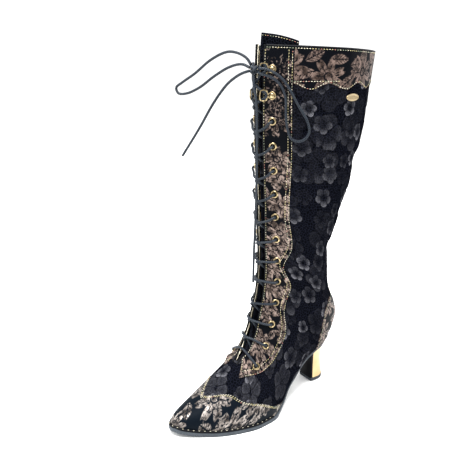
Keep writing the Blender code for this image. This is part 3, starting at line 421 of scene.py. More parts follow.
# %% Sections
Section = namedtuple(
    "Section", "name back_y back_z front_y front_z seat belly belly_at front_power back_power sweep",
    defaults=(0.50, 1.35, 2.0, 0.0))  # of the leg
SECTIONS = [Section(*row) for row in (
    ("nose", -246, 12.6, -244.5, 18, 4, 4.3, 0.30, 2.2, 1.4, -5),
    ("toe tip", -242.5, 11.2, -239.5, 22, 8.8, 9.4, 0.30, 2.2, 1.4, -4.8),
    ("toe", -234.5, 9, -230.5, 25.5, 14.2, 15.2, 0.30, 2.2, 1.4, -4),
    ("toe box", -221, 7, -215, 32.5, 21.3, 22.8, 0.28, 2.1, 1.4, -2.2),
    ("vamp", -203, 6, -196, 42.8, 29.5, 31.2, 0.26, 2, 1.4, 0.6),
    ("tread", -180, 6, -176, 57.2, 36.3, 38.3, 0.24, 1.9, 1.4, 3.6),
    ("throat foot", -156, 6, -161, 73.5, 39.8, 41.8, 0.22, 1.75, 1.4, 5.6),
    ("ball", -134, 6, -150.5, 87.5, 38.3, 41, 0.22, 1.65, 1.4, 6),
    ("waist", -112, 11.6, -143, 102, 32, 37, 0.25, 1.55, 1.4, 4.2),
    ("arch", -88, 29, -137.5, 116, 25.5, 33, 0.30, 1.45, 1.4, 2),
    ("shank", -62, 52, -135, 128, 24.5, 32, 0.36, 1.40, 1.45, 0.8),
    ("heel front", -38, 64, -132, 139, 25.5, 32.5, 0.40, 1.40, 1.6, 0.2),
    ("heel seat", -27, 67, -129.3, 149, 22, 32.7, 0.42, 1.40, 1.8, 0),
    ("heel round", -19.5, 68.9, -127.6, 157, 15.5, 33, 0.43, 1.40, 2.1, 0),
    ("heel end", -16.6, 69.6, -127, 161, 9, 33.2, 0.44, 1.40, 2.4, 0),
    ("heel corner", -15.5, 69.9, -126.4, 165, 0, 33.4, 0.44, 1.40, 2.7, 0),
    ("heel bulge", -0.5, 98.5, -125.2, 179, 0, 34.4, 0.45, 1.40, 2.3, 0),
    ("heel top", -5, 114.5, -124.4, 192, 0, 36, 0.46, 1.38, 2.15, 0),
    ("tendon", -18, 138, -124, 208, 0, 37.5, 0.47, 1.36, 2.1, 0),
    ("ankle", -22.5, 168, -124.4, 225, 0, 39, 0.48, 1.35, 2.05, 0),
    ("ankle back", -24.5, 193, -124.9, 240, 0, 40.5, 0.49, 1.35, 2, 0),
    ("leg", -17.5, 216, -125.2, 256, 0, 42.5),
    ("calf foot", -8.5, 244, -126.6, 276, 0, 45.5),
    ("calf fold", 2.6, 274, -128, 298, 0, 48.5),
    ("calf", 8.3, 306, -129.3, 324, 0, 51.5),
    ("calf bulge", 20.8, 346, -131, 357, 0, 54.5),
    ("cuff", 24.4, 390, -131.5, 395, 0, 57),
    ("collar", 29, 434, -130.5, 442, 0, 58.5),
    ("tongue top", 30, 446, -129.5, 454.5, 0, 58.8),
)]
THROAT_GAPS = {"nose": 0.8, "toe": 2, "vamp": 2.5, "throat foot": 3, "ball": 7.5, "arch": 10.5,
               "heel corner": 9.5, "ankle back": 7.5, "tongue top": 7}

def smooth_curve(places, values):
    """Monotone cubic through a table's rows, one value or several to a row: a function of the place."""
    places, values = np.array(list(places), float), np.array(list(values), float)
    table = values.reshape(len(places), -1)
    step = np.diff(places)[:, None]
    slope = np.diff(table, axis=0) / step
    same = slope[1:] * slope[:-1] > 0
    weight_a, weight_b = 2 * step[1:] + step[:-1], step[1:] + 2 * step[:-1]
    mean = (weight_a + weight_b) / (weight_a / np.where(same, slope[:-1], 1.0)
                                    + weight_b / np.where(same, slope[1:], 1.0))
    turn = np.vstack([slope[:1], np.where(same, mean, 0.0), slope[-1:]])

    def at(place):
        place = np.asarray(place, float)
        i = np.clip(np.searchsorted(places, place) - 1, 0, len(step) - 1)
        t = np.asarray((place - places[i]) / step[i, 0])[..., None]
        found = ease_between(table[i], table[i + 1], step[i] * turn[i], step[i] * turn[i + 1], t)
        return found if values.ndim > 1 else found[..., 0]

    return at


def section_stations():
    """Distance of each section along the boot: the mean of the ways along its back and its front."""
    ends = np.array([section[1:5] for section in SECTIONS])
    return (way_along(ends[:, :2]) + way_along(ends[:, 2:])) / 2


STATIONS = section_stations()
STATION = {section.name: place for section, place in zip(SECTIONS, STATIONS)}
COLLAR = STATION["collar"]
SECTION_AT = smooth_curve(STATIONS, [section[1:] for section in SECTIONS])
GAP_AT = smooth_curve([STATION[name] for name in THROAT_GAPS], THROAT_GAPS.values())
print("sections:", len(SECTIONS), "over", round(STATIONS[-1]), "mm")

# %% The skin as a table
WALL = 2  # leather and its lining
FORM_STEP = 1.6  # mm between the rows of the table that the skin is read from
FORM_COLUMNS = 180
ARC_POINTS = 160  # on each of a section's two arcs, before they are read in equal steps
NORMAL_STEP = 1.2  # mm to each side for a normal
SEAM_TURN = 0.3  # share of a normal's sideways part that is left at the back seam

def half_section(station):
    """Half of a section in equal steps from its front to its back, without its sweep, and its length."""
    back_y, back_z, front_y, front_z, seat, belly, at, front_power, back_power, _ = SECTION_AT(station)
    angle = np.linspace(0.0, math.pi / 2, ARC_POINTS)
    rise, fall = np.cos(angle), np.sin(angle[1:])
    upper_x = belly * (1 - rise ** front_power) ** (1 / front_power)
    lower_x = seat + (belly - seat) * (1 - fall ** back_power) ** (1 / back_power)
    share = np.concatenate([at + (1 - at) * rise, at * (1 - fall)])
    points = np.column_stack([np.concatenate([upper_x, lower_x]), back_y + share * (front_y - back_y),
                              back_z + share * (front_z - back_z)])
    way = way_along(points)
    return read_line(np.linspace(0.0, way[-1], FORM_COLUMNS), way, points), way[-1]


class Form:
    """The boot's skin as a table of rows, read by station and girth."""

    def __init__(self):
        self.rows = np.linspace(0.0, STATIONS[-1], int(STATIONS[-1] / FORM_STEP))
        halves, lengths = zip(*(half_section(station) for station in self.rows))
        self.half, self.length = np.array(halves), np.array(lengths)
        sections = SECTION_AT(self.rows)
        self.front_z, self.sweep = sections[:, 3], sections[:, 9]

    def reach(self, station):
        """The girth at the end of a section: the feather edge in the foot, the back seam above it."""
        return np.interp(station, self.rows, self.length)

    def front_height(self, station):
        return np.interp(station, self.rows, self.front_z)

    def station_at(self, front_height):
        return np.interp(front_height, self.front_z, self.rows)

    def bare(self, station, girth):
        """Points of the smooth form, without creases."""
        station, girth = np.broadcast_arrays(np.asarray(station, float), np.asarray(girth, float))
        row = np.clip(station / (self.rows[1] - self.rows[0]), 0, len(self.rows) - 1.001)
        r = row.astype(int)
        t = (row - r)[..., None]
        share = np.clip(abs(girth) / self.reach(station), 0, 1) * (FORM_COLUMNS - 1)
        c = np.minimum(share.astype(int), FORM_COLUMNS - 2)
        u = (share - c)[..., None]
        low = self.half[r, c] * (1 - u) + self.half[r, c + 1] * u
        high = self.half[r + 1, c] * (1 - u) + self.half[r + 1, c + 1] * u
        points = low * (1 - t) + high * t
        points[..., 0] = points[..., 0] * np.sign(girth) + np.interp(station, self.rows, self.sweep)
        return points

    def normal(self, station, girth):
        """Directions straight out of the smooth form."""
        across = self.bare(station, girth + NORMAL_STEP) - self.bare(station, girth - NORMAL_STEP)
        along = self.bare(np.minimum(station + NORMAL_STEP, STATIONS[-1]), girth)
        along = along - self.bare(np.maximum(station - NORMAL_STEP, 0.0), girth)
        normal = np.cross(across, along)
        seam = np.asarray(abs(girth) > self.reach(station) - NORMAL_STEP)
        seam = seam & np.asarray(station > STATION["heel corner"])
        normal[..., 0] = np.where(seam, normal[..., 0] * SEAM_TURN, normal[..., 0])
        return normal / np.maximum(np.linalg.norm(normal, axis=-1, keepdims=True), 1e-9)


FORM = Form()
print("form:", len(FORM.rows), "rows of", FORM_COLUMNS, "points")

# %% [markdown]
# ## Creases
# A boot that stands empty shows soft folds where the ankle bends and where the calf sags. They could be
# sculpted, but a short table keeps them in the boot's own sizes: each row is a trough (below zero) or a
# ridge, with its place, how far it reaches round the leg, how wide it is and how it slants. Everything that
# lies on the skin rises and falls with them.

# %% Troughs and ridges
Crease = namedtuple("Crease", "front_height girth reach width height slant", defaults=(0.0,))
BACK = 0  # a girth of BACK puts the crease across the back seam
CREASES = [Crease(*row) for row in (
    (341, BACK, 34, 5.5, 2.4),
    (356, BACK, 46, 9, -0.8),
    (328, BACK, 40, 8, -1.4),
    (309, BACK, 50, 11, 1.3),
    (287, BACK, 44, 9, -1.5),
    (266, BACK, 44, 9, 1),
    (243, BACK, 60, 8, -1.4),
    (224, 84, 34, 8, -1.6, 0.20),
    (212, 80, 36, 8, 1.2, 0.22),
    (196, 74, 36, 8, -1.7, 0.24),
    (226, -84, 34, 8, -1.6, -0.20),
    (197, -76, 36, 8, -1.5, -0.24),
    (165, 66, 26, 7, -1, 0.25),
    (166, -66, 26, 7, -1, -0.25),
    (77, -19, 9, 6, 3.2),
    (92, 58, 18, 5, -0.9, 0.15),
    (78, 60, 18, 5, -0.8, 0.10),
    (90, -58, 18, 5, -0.9, -0.15),
    (318, 86, 30, 20, -1.4, -0.20),
    (282, 70, 26, 14, 1.1, 0.15),
    (366, 84, 40, 16, -1.2, 0.10),
    (330, -80, 36, 18, -1.4, 0.10),
    (275, -66, 28, 12, 1),
)]

def relief(station, girth):
    """Height of the creases over the smooth form."""
    total = np.zeros(np.broadcast(station, girth).shape)
    for crease in CREASES:
        round_way = FORM.reach(station) - abs(girth) if crease.girth == BACK else girth - crease.girth
        along = station - FORM.station_at(crease.front_height) + crease.slant * round_way
        total += crease.height * np.exp(-(along / crease.width) ** 2 - (round_way / crease.reach) ** 2)
    return total


def skin(station, girth, lift=0.0):
    """Points of the creased skin, raised by lift."""
    station, girth = np.broadcast_arrays(np.asarray(station, float), np.asarray(girth, float))
    rise = np.asarray(lift + relief(station, girth))[..., None]
    return FORM.bare(station, girth) + FORM.normal(station, girth) * rise


print("creases:", len(CREASES))

# %% [markdown]
# ## Embossed textile
# Shaft and vamp are a dark polyester jacquard, embossed with five-petalled blossoms. The blossoms have to
# catch light as real relief. A painted highlight also makes their petals paler towards the ends and on the
# lower side, and makes the raised blossoms paler, more so on the vamp, which faces the light. An image could
# be pressed on, but it would blur close by. So one function draws a blossom in each cell of a jittered net
# with nodes that serve twice: in a Geometry Nodes tree, which lifts the cloth's mesh, and in the shader,
# which colours the petals.

# %% Blossoms as nodes
Blossom = namedtuple("Blossom", "cell shift smallest largest pale_from glow")
LARGE_BLOSSOM = Blossom(44, 0.37, 0.38, 0.56, 0.4, 0.3)  # cells in mm, the rest in shares
SMALL_BLOSSOM = Blossom(28, 6.53, 0.32, 0.46, 0.3, 1)
SMALL_HEIGHT = 0.62  # of a small blossom, as a share of a large one's
CELL_SKEW = 2.7  # a net's shift across, for each part of its shift along
BLOSSOM_JITTER = 0.72
PETALS = 5
PETAL_AT, PETAL_RADIUS = 0.56, 0.44  # shares of the blossom's radius

def cells(add, place, cell, shift, jitter):
    """A jittered net: the axes of the way from a cell's middle, its bearing and length, and the cell's
    own draws."""
    net_place = add("VectorMath MULTIPLY_ADD", place, (1 / cell,) * 3, (shift, CELL_SKEW * shift, 0.0))
    net = add("TexVoronoi", Vector=net_place, Scale=1.0, Randomness=jitter, voronoi_dimensions="2D")
    way = add("VectorMath SUBTRACT", net_place, net.outputs["Position"])
    axes = add("SeparateXYZ", way)
    draw = add("SeparateXYZ", net.outputs["Color"])
    bearing = add("Math ARCTAN2", axes.outputs[1], axes.outputs[0])
    angle = add("Math MULTIPLY_ADD", draw.outputs[0], 2 * math.pi, bearing)
    return axes, angle, add("VectorMath LENGTH", way), draw


def blossom(add, place, kind):
    """Height of a blossom of five round petals, and a painted highlight that makes its petals paler towards
    their ends and on its lower side, both from 0 to 1.
    """
    axes, angle, distance, draw = cells(add, place, kind.cell, kind.shift, BLOSSOM_JITTER)
    size = add("MapRange", draw.outputs[1], 0.0, 1.0, kind.smallest, kind.largest)
    out = add("Math DIVIDE", distance, size)
    fold = add("Math PINGPONG", angle, math.pi / PETALS)
    bearing = add("Math COSINE", fold)
    reach = add("Math MULTIPLY_ADD", bearing, -2 * PETAL_AT, out)
    square = add("Math MULTIPLY_ADD", reach, out, PETAL_AT ** 2)
    from_petal = add("Math SQRT", square)
    petal = add("Math DIVIDE", from_petal, PETAL_RADIUS)
    inside = add("MapRange SMOOTHSTEP", petal, 0.88, 1.0, 1.0, 0.0)
    dish = add("MapRange SMOOTHSTEP", petal, 0.1, 0.85, 0.45, 1.0)
    parting = add("MapRange", fold, 0.48, math.pi / PETALS, 1.0, 0.3)
    heart = add("MapRange", out, 0.12, 0.4, 0.25, 1.0)
    parted = add("Math MULTIPLY", parting, heart)
    pressed = add("Math MULTIPLY", parted, dish)
    height = add("Math MULTIPLY", pressed, inside)
    # painted highlight: the petals are drawn paler towards their ends and on the blossom's lower side
    outwards = add("MapRange", out, kind.pale_from, 0.97, 0.06, 1.0)
    low_side = add("MapRange", axes.outputs[1], 0.3, -0.3, 0.3, 1.0)
    strength = add("MapRange SMOOTHSTEP", draw.outputs[2], 0.3, 1.0, 0.08 * kind.glow, kind.glow)
    glow = parted
    for share in (inside, outwards, low_side, strength):
        glow = add("Math MULTIPLY", glow, share)
    return height, glow


def blossoms(add, place):
    """Large and small blossoms together."""
    large, large_highlight = blossom(add, place, LARGE_BLOSSOM)
    small, small_highlight = blossom(add, place, SMALL_BLOSSOM)
    lower = add("Math MULTIPLY", small, SMALL_HEIGHT)
    height = add("Math MAXIMUM", large, lower)
    return height, add("Math MAXIMUM", large_highlight, small_highlight)


print("blossoms:", LARGE_BLOSSOM.cell, "and", SMALL_BLOSSOM.cell, "mm apart")

# %% Textile and lining
THREAD_SPACING, CRACKLE = 1.4, 3.2  # mm between flecks of thread, and across a cell of the crackle
RAISED_HIGHLIGHT = (0.05, 0.2)  # share of a blossom's height that is painted paler as a highlight, on the shaft and on the vamp, which faces the light

def make_embossed_textile(name, relief_share):
    """Jacquard with a dull, napped face: near-black navy, finely crackled, with a painted highlight that
    makes the petals' ends and the raised blossoms greyer.
    """
    material, add, shader = new_material(name)
    place = add("UVMap", uv_map="mm")
    height, glow = blossoms(add, place)
    along = add("SeparateXYZ", place).outputs[1]
    # painted highlight: the raised blossoms are drawn paler by their height, more on the vamp, which faces
    # the light
    raised_highlight_share = add("MapRange", along, STATION["shank"], STATION["ball"], *RAISED_HIGHLIGHT)
    raised_highlight = add("Math MULTIPLY", height, raised_highlight_share)
    shown = add("Math MAXIMUM", glow, raised_highlight)
    pale = add("Math MULTIPLY", shown, relief_share)
    thread = add("TexNoise", Vector=place, Scale=1 / THREAD_SPACING, Detail=3.0, noise_dimensions="2D")
    wander = add("VectorMath MULTIPLY_ADD", thread.outputs["Color"], (1.5, 1.5, 0.0), place)
    crackle = add("TexVoronoi", Vector=wander, Scale=1 / CRACKLE, voronoi_dimensions="2D",
                  feature="DISTANCE_TO_EDGE")
    line = add("MapRange", crackle, 0.02, 0.14, 0.6, 0.0)
    ground = add("Mix RGBA", Factor=line, A="#08090d", B="#262833")
    speckled = add("MapRange", thread, 0.3, 0.7, 0.35, 1.35)
    flecked_highlight = add("Math MULTIPLY", pale, speckled, use_clamp=True)
    fine = add("Math ADD", crackle, thread)
    relief_bump = add("Bump", Height=height, Strength=0.8 * relief_share, Distance=2.4 * MM)
    # the grey #6b6b70 is the colour of the painted highlight on the blossoms
    bump = coat(shader, (flecked_highlight, ground, "#6b6b70"), (fine, 0.55, 0.5), Roughness=0.85, Specular_IOR_Level=0.0)
    feed(bump, {"Normal": relief_bump})
    return material


def make_lining(name, dark, light):
    """Undyed pigskin lining: matt beige with fine pores."""
    return mottled(name, ("TexNoise", 1 / 6, 4.0), dark, light, ("TexVoronoi", 1 / 1.2, 0.0), 0.25, 0.3,
                   Roughness=0.85, Specular_IOR_Level=0.3)


EMBOSSED_TEXTILE = make_embossed_textile("embossed_polyester_jacquard", 1)
TONGUE_CLOTH = make_embossed_textile("plain_black_twill", 0.3)
LINING = make_lining("undyed_pigskin_lining", "#a8997a", "#cabd9c")
# a lighter copy of the same lining, painted light, so that its thin line in the shaded throat reads pale
LIT_LINING = make_lining("undyed_pigskin_cut_edge", "#d2c9b0", "#f0e9d6")
print("textile:", len(EMBOSSED_TEXTILE.node_tree.nodes), "nodes")

# %% [markdown]
# ## The upper
# The upper is one hollow wall, about 2 mm thick, open at the collar, the throat and the sole. Its outside
# is a fine grid on the skin, its inside a coarser one, the beige lining, and the two are stitched together
# along every open edge. Solidify could thicken a sheet, but it would make the lining as fine as the cloth.
# A Geometry Nodes tree then lifts the blossoms on the outside alone.

# %% Upper: grid and lining
SIDE_COLUMNS = 104  # fine columns from the throat to the back seam, a multiple of LINING_STEP
LINING_STEP = 4  # the lining has one point for so many of the outside's
ROW_COUNTS = {"nose": 60, "throat foot": 88, "heel corner": 120}  # rows up to the next name
OUTSIDE, INSIDE, RIM = 0, 1, 2  # kinds of face

def upper_places():
    """Stations and girths: the inner side from the back to the throat, then the outer side to the back."""
    names = [*ROW_COUNTS, "collar"]
    rows = [np.linspace(STATION[a], STATION[b], count, endpoint=False)
            for a, b, count in zip(names, names[1:], ROW_COUNTS.values())]
    station = np.concatenate([*rows, [COLLAR]])[:, None]
    gap = GAP_AT(station)
    outer = gap + np.linspace(0.0, 1.0, SIDE_COLUMNS + 1) * (FORM.reach(station) - gap)
    return np.broadcast_arrays(station, np.hstack([-outer[:, ::-1], outer]))


def add_upper():
    """Outside and lining, with a rim between them along every open edge."""
    station, girth = upper_places()
    rows, columns = girth.shape
    count = rows * columns
    throat_row = ROW_COUNTS["nose"]
    seam_row = throat_row + ROW_COUNTS["throat foot"]

    def index(r, c):
        """A grid point; above the heel's corner the last column is the first one, at the back seam."""
        return r * columns + (0 if c == columns - 1 and r >= seam_row else c)

    def squares(step):
        stops = [*range(0, SIDE_COLUMNS + 1, step), *range(SIDE_COLUMNS + 1, columns, step)]
        return [((r, a), (r, b), (r + step, b), (r + step, a))
                for r in range(0, rows - 1, step) for a, b in zip(stops, stops[1:])
                if a != SIDE_COLUMNS or r < throat_row]

    faces = [[index(*corner) for corner in square] for square in squares(1)]
    kinds = [OUTSIDE] * len(faces)
    border = {}
    for square in squares(LINING_STEP):
        faces.append([count + index(*corner) for corner in square[::-1]])
        kinds.append(INSIDE)
        for a, b in zip(square, square[1:] + square[:1]):
            key = tuple(sorted((index(*a), index(*b))))
            border[key] = None if key in border else (a, b)
    for (r0, c0), (r1, c1) in filter(None, border.values()):
        steps = 1 if {c0, c1} == {SIDE_COLUMNS, SIDE_COLUMNS + 1} else LINING_STEP
        line = [index(r0 + (r1 - r0) * k // steps, c0 + (c1 - c0) * k // steps) for k in range(steps + 1)]
        faces.append([*line[::-1], count + line[0], count + line[-1]])
        kinds.append(RIM)
    points = [skin(station, girth), skin(station, girth, -WALL)]
    uv = [np.stack([girth, station], axis=-1)] * 2
    upper = add_piece("upper_wall", points, faces, [EMBOSSED_TEXTILE, LINING, EMBOSSED_TEXTILE], uv, kinds)
    out = upper.data.attributes.new("outside", "FLOAT", "POINT")
    out.data.foreach_set("value", np.repeat([1.0, 0.0], count).astype(np.float32))
    return upper

# %% Upper: raised blossoms
BLOSSOM_RELIEF = 1  # mm

def new_tree(name, **inputs):
    """A Geometry Nodes tree with named inputs, a function that adds nodes to it, and what it is given."""
    tree = bpy.data.node_groups.new(name, "GeometryNodeTree")
    tree.is_modifier = True
    for socket, kind in {"Geometry": "Geometry", **inputs}.items():
        tree.interface.new_socket(socket, in_out="INPUT", socket_type=f"NodeSocket{kind}")
    tree.interface.new_socket("Geometry", in_out="OUTPUT", socket_type="NodeSocketGeometry")
    add = partial(add_node, tree)
    return tree, add, add("NodeGroupInput").outputs


def relief_tree():
    """Lifts a mesh along its normals by the blossoms' height, where its attribute outside is 1."""
    tree, add, given = new_tree("raise_blossoms", Relief="Float")
    place = add("GeometryNodeInputNamedAttribute", Name="mm", data_type="FLOAT_VECTOR")
    mask = add("GeometryNodeInputNamedAttribute", Name="outside", data_type="FLOAT")
    height, _ = blossoms(add, place)
    masked = add("Math MULTIPLY", height, mask)
    lift = add("Math MULTIPLY", masked, given["Relief"])
    push = add("VectorMath SCALE", add("GeometryNodeInputNormal"), Scale=lift)
    moved = add("GeometryNodeSetPosition", Geometry=given["Geometry"], Offset=push)
    add("NodeGroupOutput", moved)
    return tree


def apply_tree(piece, tree, inputs):
    """Runs a Geometry Nodes tree on a piece and keeps the result as its plain mesh."""
    modifier = piece.modifiers.new(tree.name, "NODES")
    modifier.node_group = tree
    for socket in tree.interface.items_tree:
        if socket.item_type == "SOCKET" and socket.in_out == "INPUT" and socket.name in inputs:
            modifier[socket.identifier] = inputs[socket.name]
    shown = piece.evaluated_get(bpy.context.evaluated_depsgraph_get())
    mesh = bpy.data.meshes.new_from_object(shown)
    piece.modifiers.remove(modifier)
    piece.data = mesh
    return piece


upper = apply_tree(add_upper(), relief_tree(), {"Relief": BLOSSOM_RELIEF * MM})
settle(upper, "embossed_textile", "upper")
print("upper:", len(upper.data.polygons), "faces")

# %% [markdown]
# ## Foil-printed leather
# Toe cap, counter, eyestays and cuffs are black leather with a pattern in thin metal foil, heat-pressed and
# a little rubbed. The pattern here is a plain one of round flowers and leaves, drawn by nodes on the
# millimetre map. An image would be quicker, but nodes stay sharp at any size, and the foil can be real metal
# in the shader, so that it glints while the leather stays dull.

# %% Foil print
FoilPrint = namedtuple(
    "FoilPrint", "flower_cell flower_size leaf_cell leaf_half shift cover wear ground dark light")
STAY_PRINT = FoilPrint(34, 0.57, 23, 0.23, 1.7, 0.45, 0.14, "#080a0f", "#3d3531", "#84766f")
CUFF_PRINT = FoilPrint(38, 0.62, 25, 0.26, 5.3, 0.43, 0, "#080a0f", "#3a312d", "#786861")
CAP_PRINT = FoilPrint(46, 0.54, 27, 0.24, 7.9, 0.46, 0, "#0a1118", "#3b3633", "#918a85")
FOIL_PETALS = 7
FLOWER_JITTER, LEAF_JITTER = 0.6, 0.9
LEAF_SHIFT = 3.1  # of the leaves' net from the flowers'

def foil_flower(add, place, pattern):
    """A flower of seven notched petals with dark veins in each cell."""
    _, angle, distance, draw = cells(add, place, pattern.flower_cell, pattern.shift, FLOWER_JITTER)
    turn = add("Math MULTIPLY", angle, FOIL_PETALS / 2)
    wave = add("Math COSINE", turn)
    lobe = add("Math ABSOLUTE", wave)
    petal = add("Math POWER", lobe, 0.8)
    notch = add("MapRange", lobe, 0.93, 1.0, 0.36, 0.24)
    edge = add("Math MULTIPLY_ADD", petal, 0.64, notch)
    sizes = [share * pattern.flower_size for share in (0.85, 1.15)]
    size = add("MapRange", draw.outputs[1], 0.0, 1.0, *sizes)
    outline = add("Math MULTIPLY", edge, size)
    out = add("Math DIVIDE", distance, outline)
    inside = add("MapRange", out, 0.93, 1.0, 1.0, 0.0)
    vein = add("MapRange", lobe, 0.992, 0.975)
    tip = add("MapRange", out, 0.6, 0.8)
    vein_or_tip = add("Math MAXIMUM", vein, tip)
    ring = add("Math SUBTRACT", distance, 0.11)
    ring_width = add("Math ABSOLUTE", ring)
    heart = add("MapRange", ring_width, 0.012, 0.03)
    veined = add("Math MULTIPLY", inside, vein_or_tip)
    return add("Math MULTIPLY", veined, heart)


def foil_leaf(add, place, pattern):
    """A pointed leaf with a midrib and slanted veins in each cell."""
    _, angle, distance, _ = cells(add, place, pattern.leaf_cell, pattern.shift + LEAF_SHIFT, LEAF_JITTER)
    along, across = (add("Math MULTIPLY", distance, add(f"Math {wave}", angle))
                     for wave in ("COSINE", "SINE"))
    side = add("Math ABSOLUTE", across)
    taper = add("Math MULTIPLY", along, along)
    half = add("Math MULTIPLY_ADD", taper, -1.0, pattern.leaf_half)
    margin = add("Math SUBTRACT", half, side)
    inside = add("MapRange", margin, 0.03, 0.06)
    midrib = add("MapRange", side, 0.012, 0.03)
    slanted = add("Math MULTIPLY_ADD", side, -1.1, along)
    stripe = add("Math MULTIPLY", slanted, 42.0)
    vein = add("MapRange", add("Math SINE", stripe), -0.95, -0.6)
    ribbed = add("Math MULTIPLY", inside, midrib)
    return add("Math MULTIPLY", ribbed, vein)


print("foil print: flowers", STAY_PRINT.flower_cell, "mm apart, leaves", STAY_PRINT.leaf_cell)

# %% Leather
def make_foil_leather(name, pattern):
    """Black calf with a pressed foil print: dull grain, warm metal where the foil holds, and worn gaps."""
    material, add, shader = new_material(name)
    place = add("UVMap", uv_map="mm")
    drawn = add("Math MAXIMUM", foil_flower(add, place, pattern), foil_leaf(add, place, pattern))
    rubbed = add("TexNoise", Vector=place, Scale=1 / 3.4, Detail=4.0, Roughness=0.7, noise_dimensions="2D")
    along = add("SeparateXYZ", place).outputs[1]
    wear = add("MapRange", along, STATION["calf fold"], COLLAR, 0.0, pattern.wear)
    left = add("Math SUBTRACT", rubbed, wear)
    holds = add("MapRange", left, pattern.cover - 0.06, pattern.cover + 0.05)
    foil = add("Math MULTIPLY", drawn, holds)
    tint = add("TexNoise", Vector=place, Scale=1 / 8.0, Detail=3.0, noise_dimensions="2D")
    tone = add("MapRange", tint, 0.35, 0.65)
    metal = add("Mix RGBA", Factor=tone, A=pattern.dark, B=pattern.light)
    metallic = add("Math MULTIPLY", foil, 0.55)
    gloss = add("MapRange", foil, 0.0, 1.0, 0.5, 0.36)
    grain = add("TexVoronoi", Vector=place, Scale=1 / 1.5, voronoi_dimensions="2D",
                feature="DISTANCE_TO_EDGE")
    raised = add("Math MULTIPLY_ADD", foil, 0.5, grain)
    coat(shader, (foil, pattern.ground, metal), (raised, 0.4, 0.4), Metallic=metallic, Roughness=gloss,
         Specular_IOR_Level=0.05)
    return material


def make_black_leather():
    """Aniline-dyed black calf: fine grain and a low gloss."""
    material, add, shader = new_material("dyed_black_calf")
    place = add("TexCoord").outputs["Object"]
    grain = add("TexVoronoi", Vector=place, Scale=1 / (1.4 * MM), feature="DISTANCE_TO_EDGE")
    shine = add("MapRange", grain, 0.0, 0.3, 0.6, 0.4)
    bump = add("Bump", Height=grain, Strength=0.3, Distance=0.3 * MM)
    feed(shader, {"Base Color": "#090a0e", "Roughness": shine, "Specular IOR Level": 0.12,
                  "Normal": bump})
    return material


FOIL_LEATHER = make_foil_leather("foil_printed_calf", STAY_PRINT)
CUFF_LEATHER = make_foil_leather("foil_printed_cuff_calf", CUFF_PRINT)
CAP_LEATHER = make_foil_leather("foil_printed_cap_calf", CAP_PRINT)
BLACK_LEATHER = make_black_leather()
print("foil leather:", len(FOIL_LEATHER.node_tree.nodes), "nodes")

# %% [markdown]
# ## Panels sewn on the upper
# The panels are cut from leather a little over a millimetre thick and sewn on, so each has its own rounded
# edge. A panel could be extruded from a flat outline, but it has to follow the foot. So each one is a grid
# in station and girth between its own edges, laid on the skin, with a few extra lines close to the edge
# that roll it down on to the cloth.

# %% Panel grids
EDGE_LINES = np.array((0, 0.25, 0.7, 1.4))  # mm from a panel's edge
EDGE_HEIGHT = np.array((0, 0.6, 0.9, 1))  # share of its thickness there
PANEL_SEAT = -0.3  # its edge dips just into the cloth
PANEL_THICKNESS = 1.6
PANEL_STEP = 2
HALVINGS = 40  # steps of a search

def edged_lines(length, soft=(True, True)):
    """Shares of a length with close lines at its soft ends, and the height at each."""
    near = EDGE_LINES / length
    start, start_height = (near, EDGE_HEIGHT) if soft[0] else (near[:1], EDGE_HEIGHT[-1:])
    end, end_height = (1 - near[::-1], EDGE_HEIGHT[::-1]) if soft[1] else (1 - near[:1], EDGE_HEIGHT[-1:])
    count = max(int(length / PANEL_STEP), 3)
    middle = np.linspace(start[-1], end[0], count + 1)[1:-1]
    shares = np.concatenate([start, middle, end])
    return shares, np.concatenate([start_height, np.ones(len(middle)), end_height])


def grid_faces(rows, columns):
    corner = np.arange(rows * columns).reshape(rows, columns)
    around = [corner[:-1, :-1], corner[:-1, 1:], corner[1:, 1:], corner[1:, :-1]]
    return np.stack(around, axis=-1).reshape(-1, 4)


def grid_piece(name, points, material, uv=None):
    """A sheet through a grid of points."""
    return add_piece(name, points, grid_faces(*points.shape[:2]), material, uv)


def merged(piece, distance=0.002):
    """Closes a piece's seams and poles."""
    mesh = bmesh.new()
    mesh.from_mesh(piece.data)
    bmesh.ops.remove_doubles(mesh, verts=mesh.verts, dist=distance * MM)
    bmesh.ops.dissolve_degenerate(mesh, edges=mesh.edges, dist=1e-7)
    mesh.to_mesh(piece.data)
    mesh.free()
    return piece


def join_pieces(name, pieces):
    """Several pieces as one, with their UV maps."""
    bpy.ops.object.select_all(action="DESELECT")
    for piece in pieces:
        piece.select_set(True)
    bpy.context.view_layer.objects.active = pieces[0]
    bpy.ops.object.join()
    pieces[0].name = name
    pieces[0].data.name = name
    return pieces[0]


def outward_grid(points, station, girth):
    """Turns a grid's columns round if its faces point into the boot."""
    r, c = points.shape[0] // 2, points.shape[1] // 2
    face = np.cross(points[r, c + 1] - points[r, c], points[r + 1, c] - points[r, c])
    if face @ FORM.normal(station[r, c], girth[r, c]) < 0:
        return points[:, ::-1], station[:, ::-1], girth[:, ::-1]
    return points, station, girth


def sewn_panel(name, place, length, width, material, soft=(True, True), soft_sides=(True, True)):
    """A panel on the skin. place turns shares of its length and width into stations and girths."""
    v, v_height = edged_lines(length, soft)
    u, u_height = edged_lines(width, soft_sides)
    station, girth = np.broadcast_arrays(*place(v[:, None], u[None, :]))
    lift = PANEL_SEAT + PANEL_THICKNESS * np.minimum(v_height[:, None], u_height[None, :])
    points, station, girth = outward_grid(skin(station, girth, lift), station, girth)
    return grid_piece(name, points, material, np.stack([girth, station], axis=-1))


def solve(below, low, high):
    """The places between low and high where a rising function of arrays passes zero."""
    low, high = np.broadcast_arrays(np.asarray(low, float), np.asarray(high, float))
    for _ in range(HALVINGS):
        middle = (low + high) / 2
        under = below(middle) < 0
        low, high = np.where(under, middle, low), np.where(under, high, middle)
    return (low + high) / 2


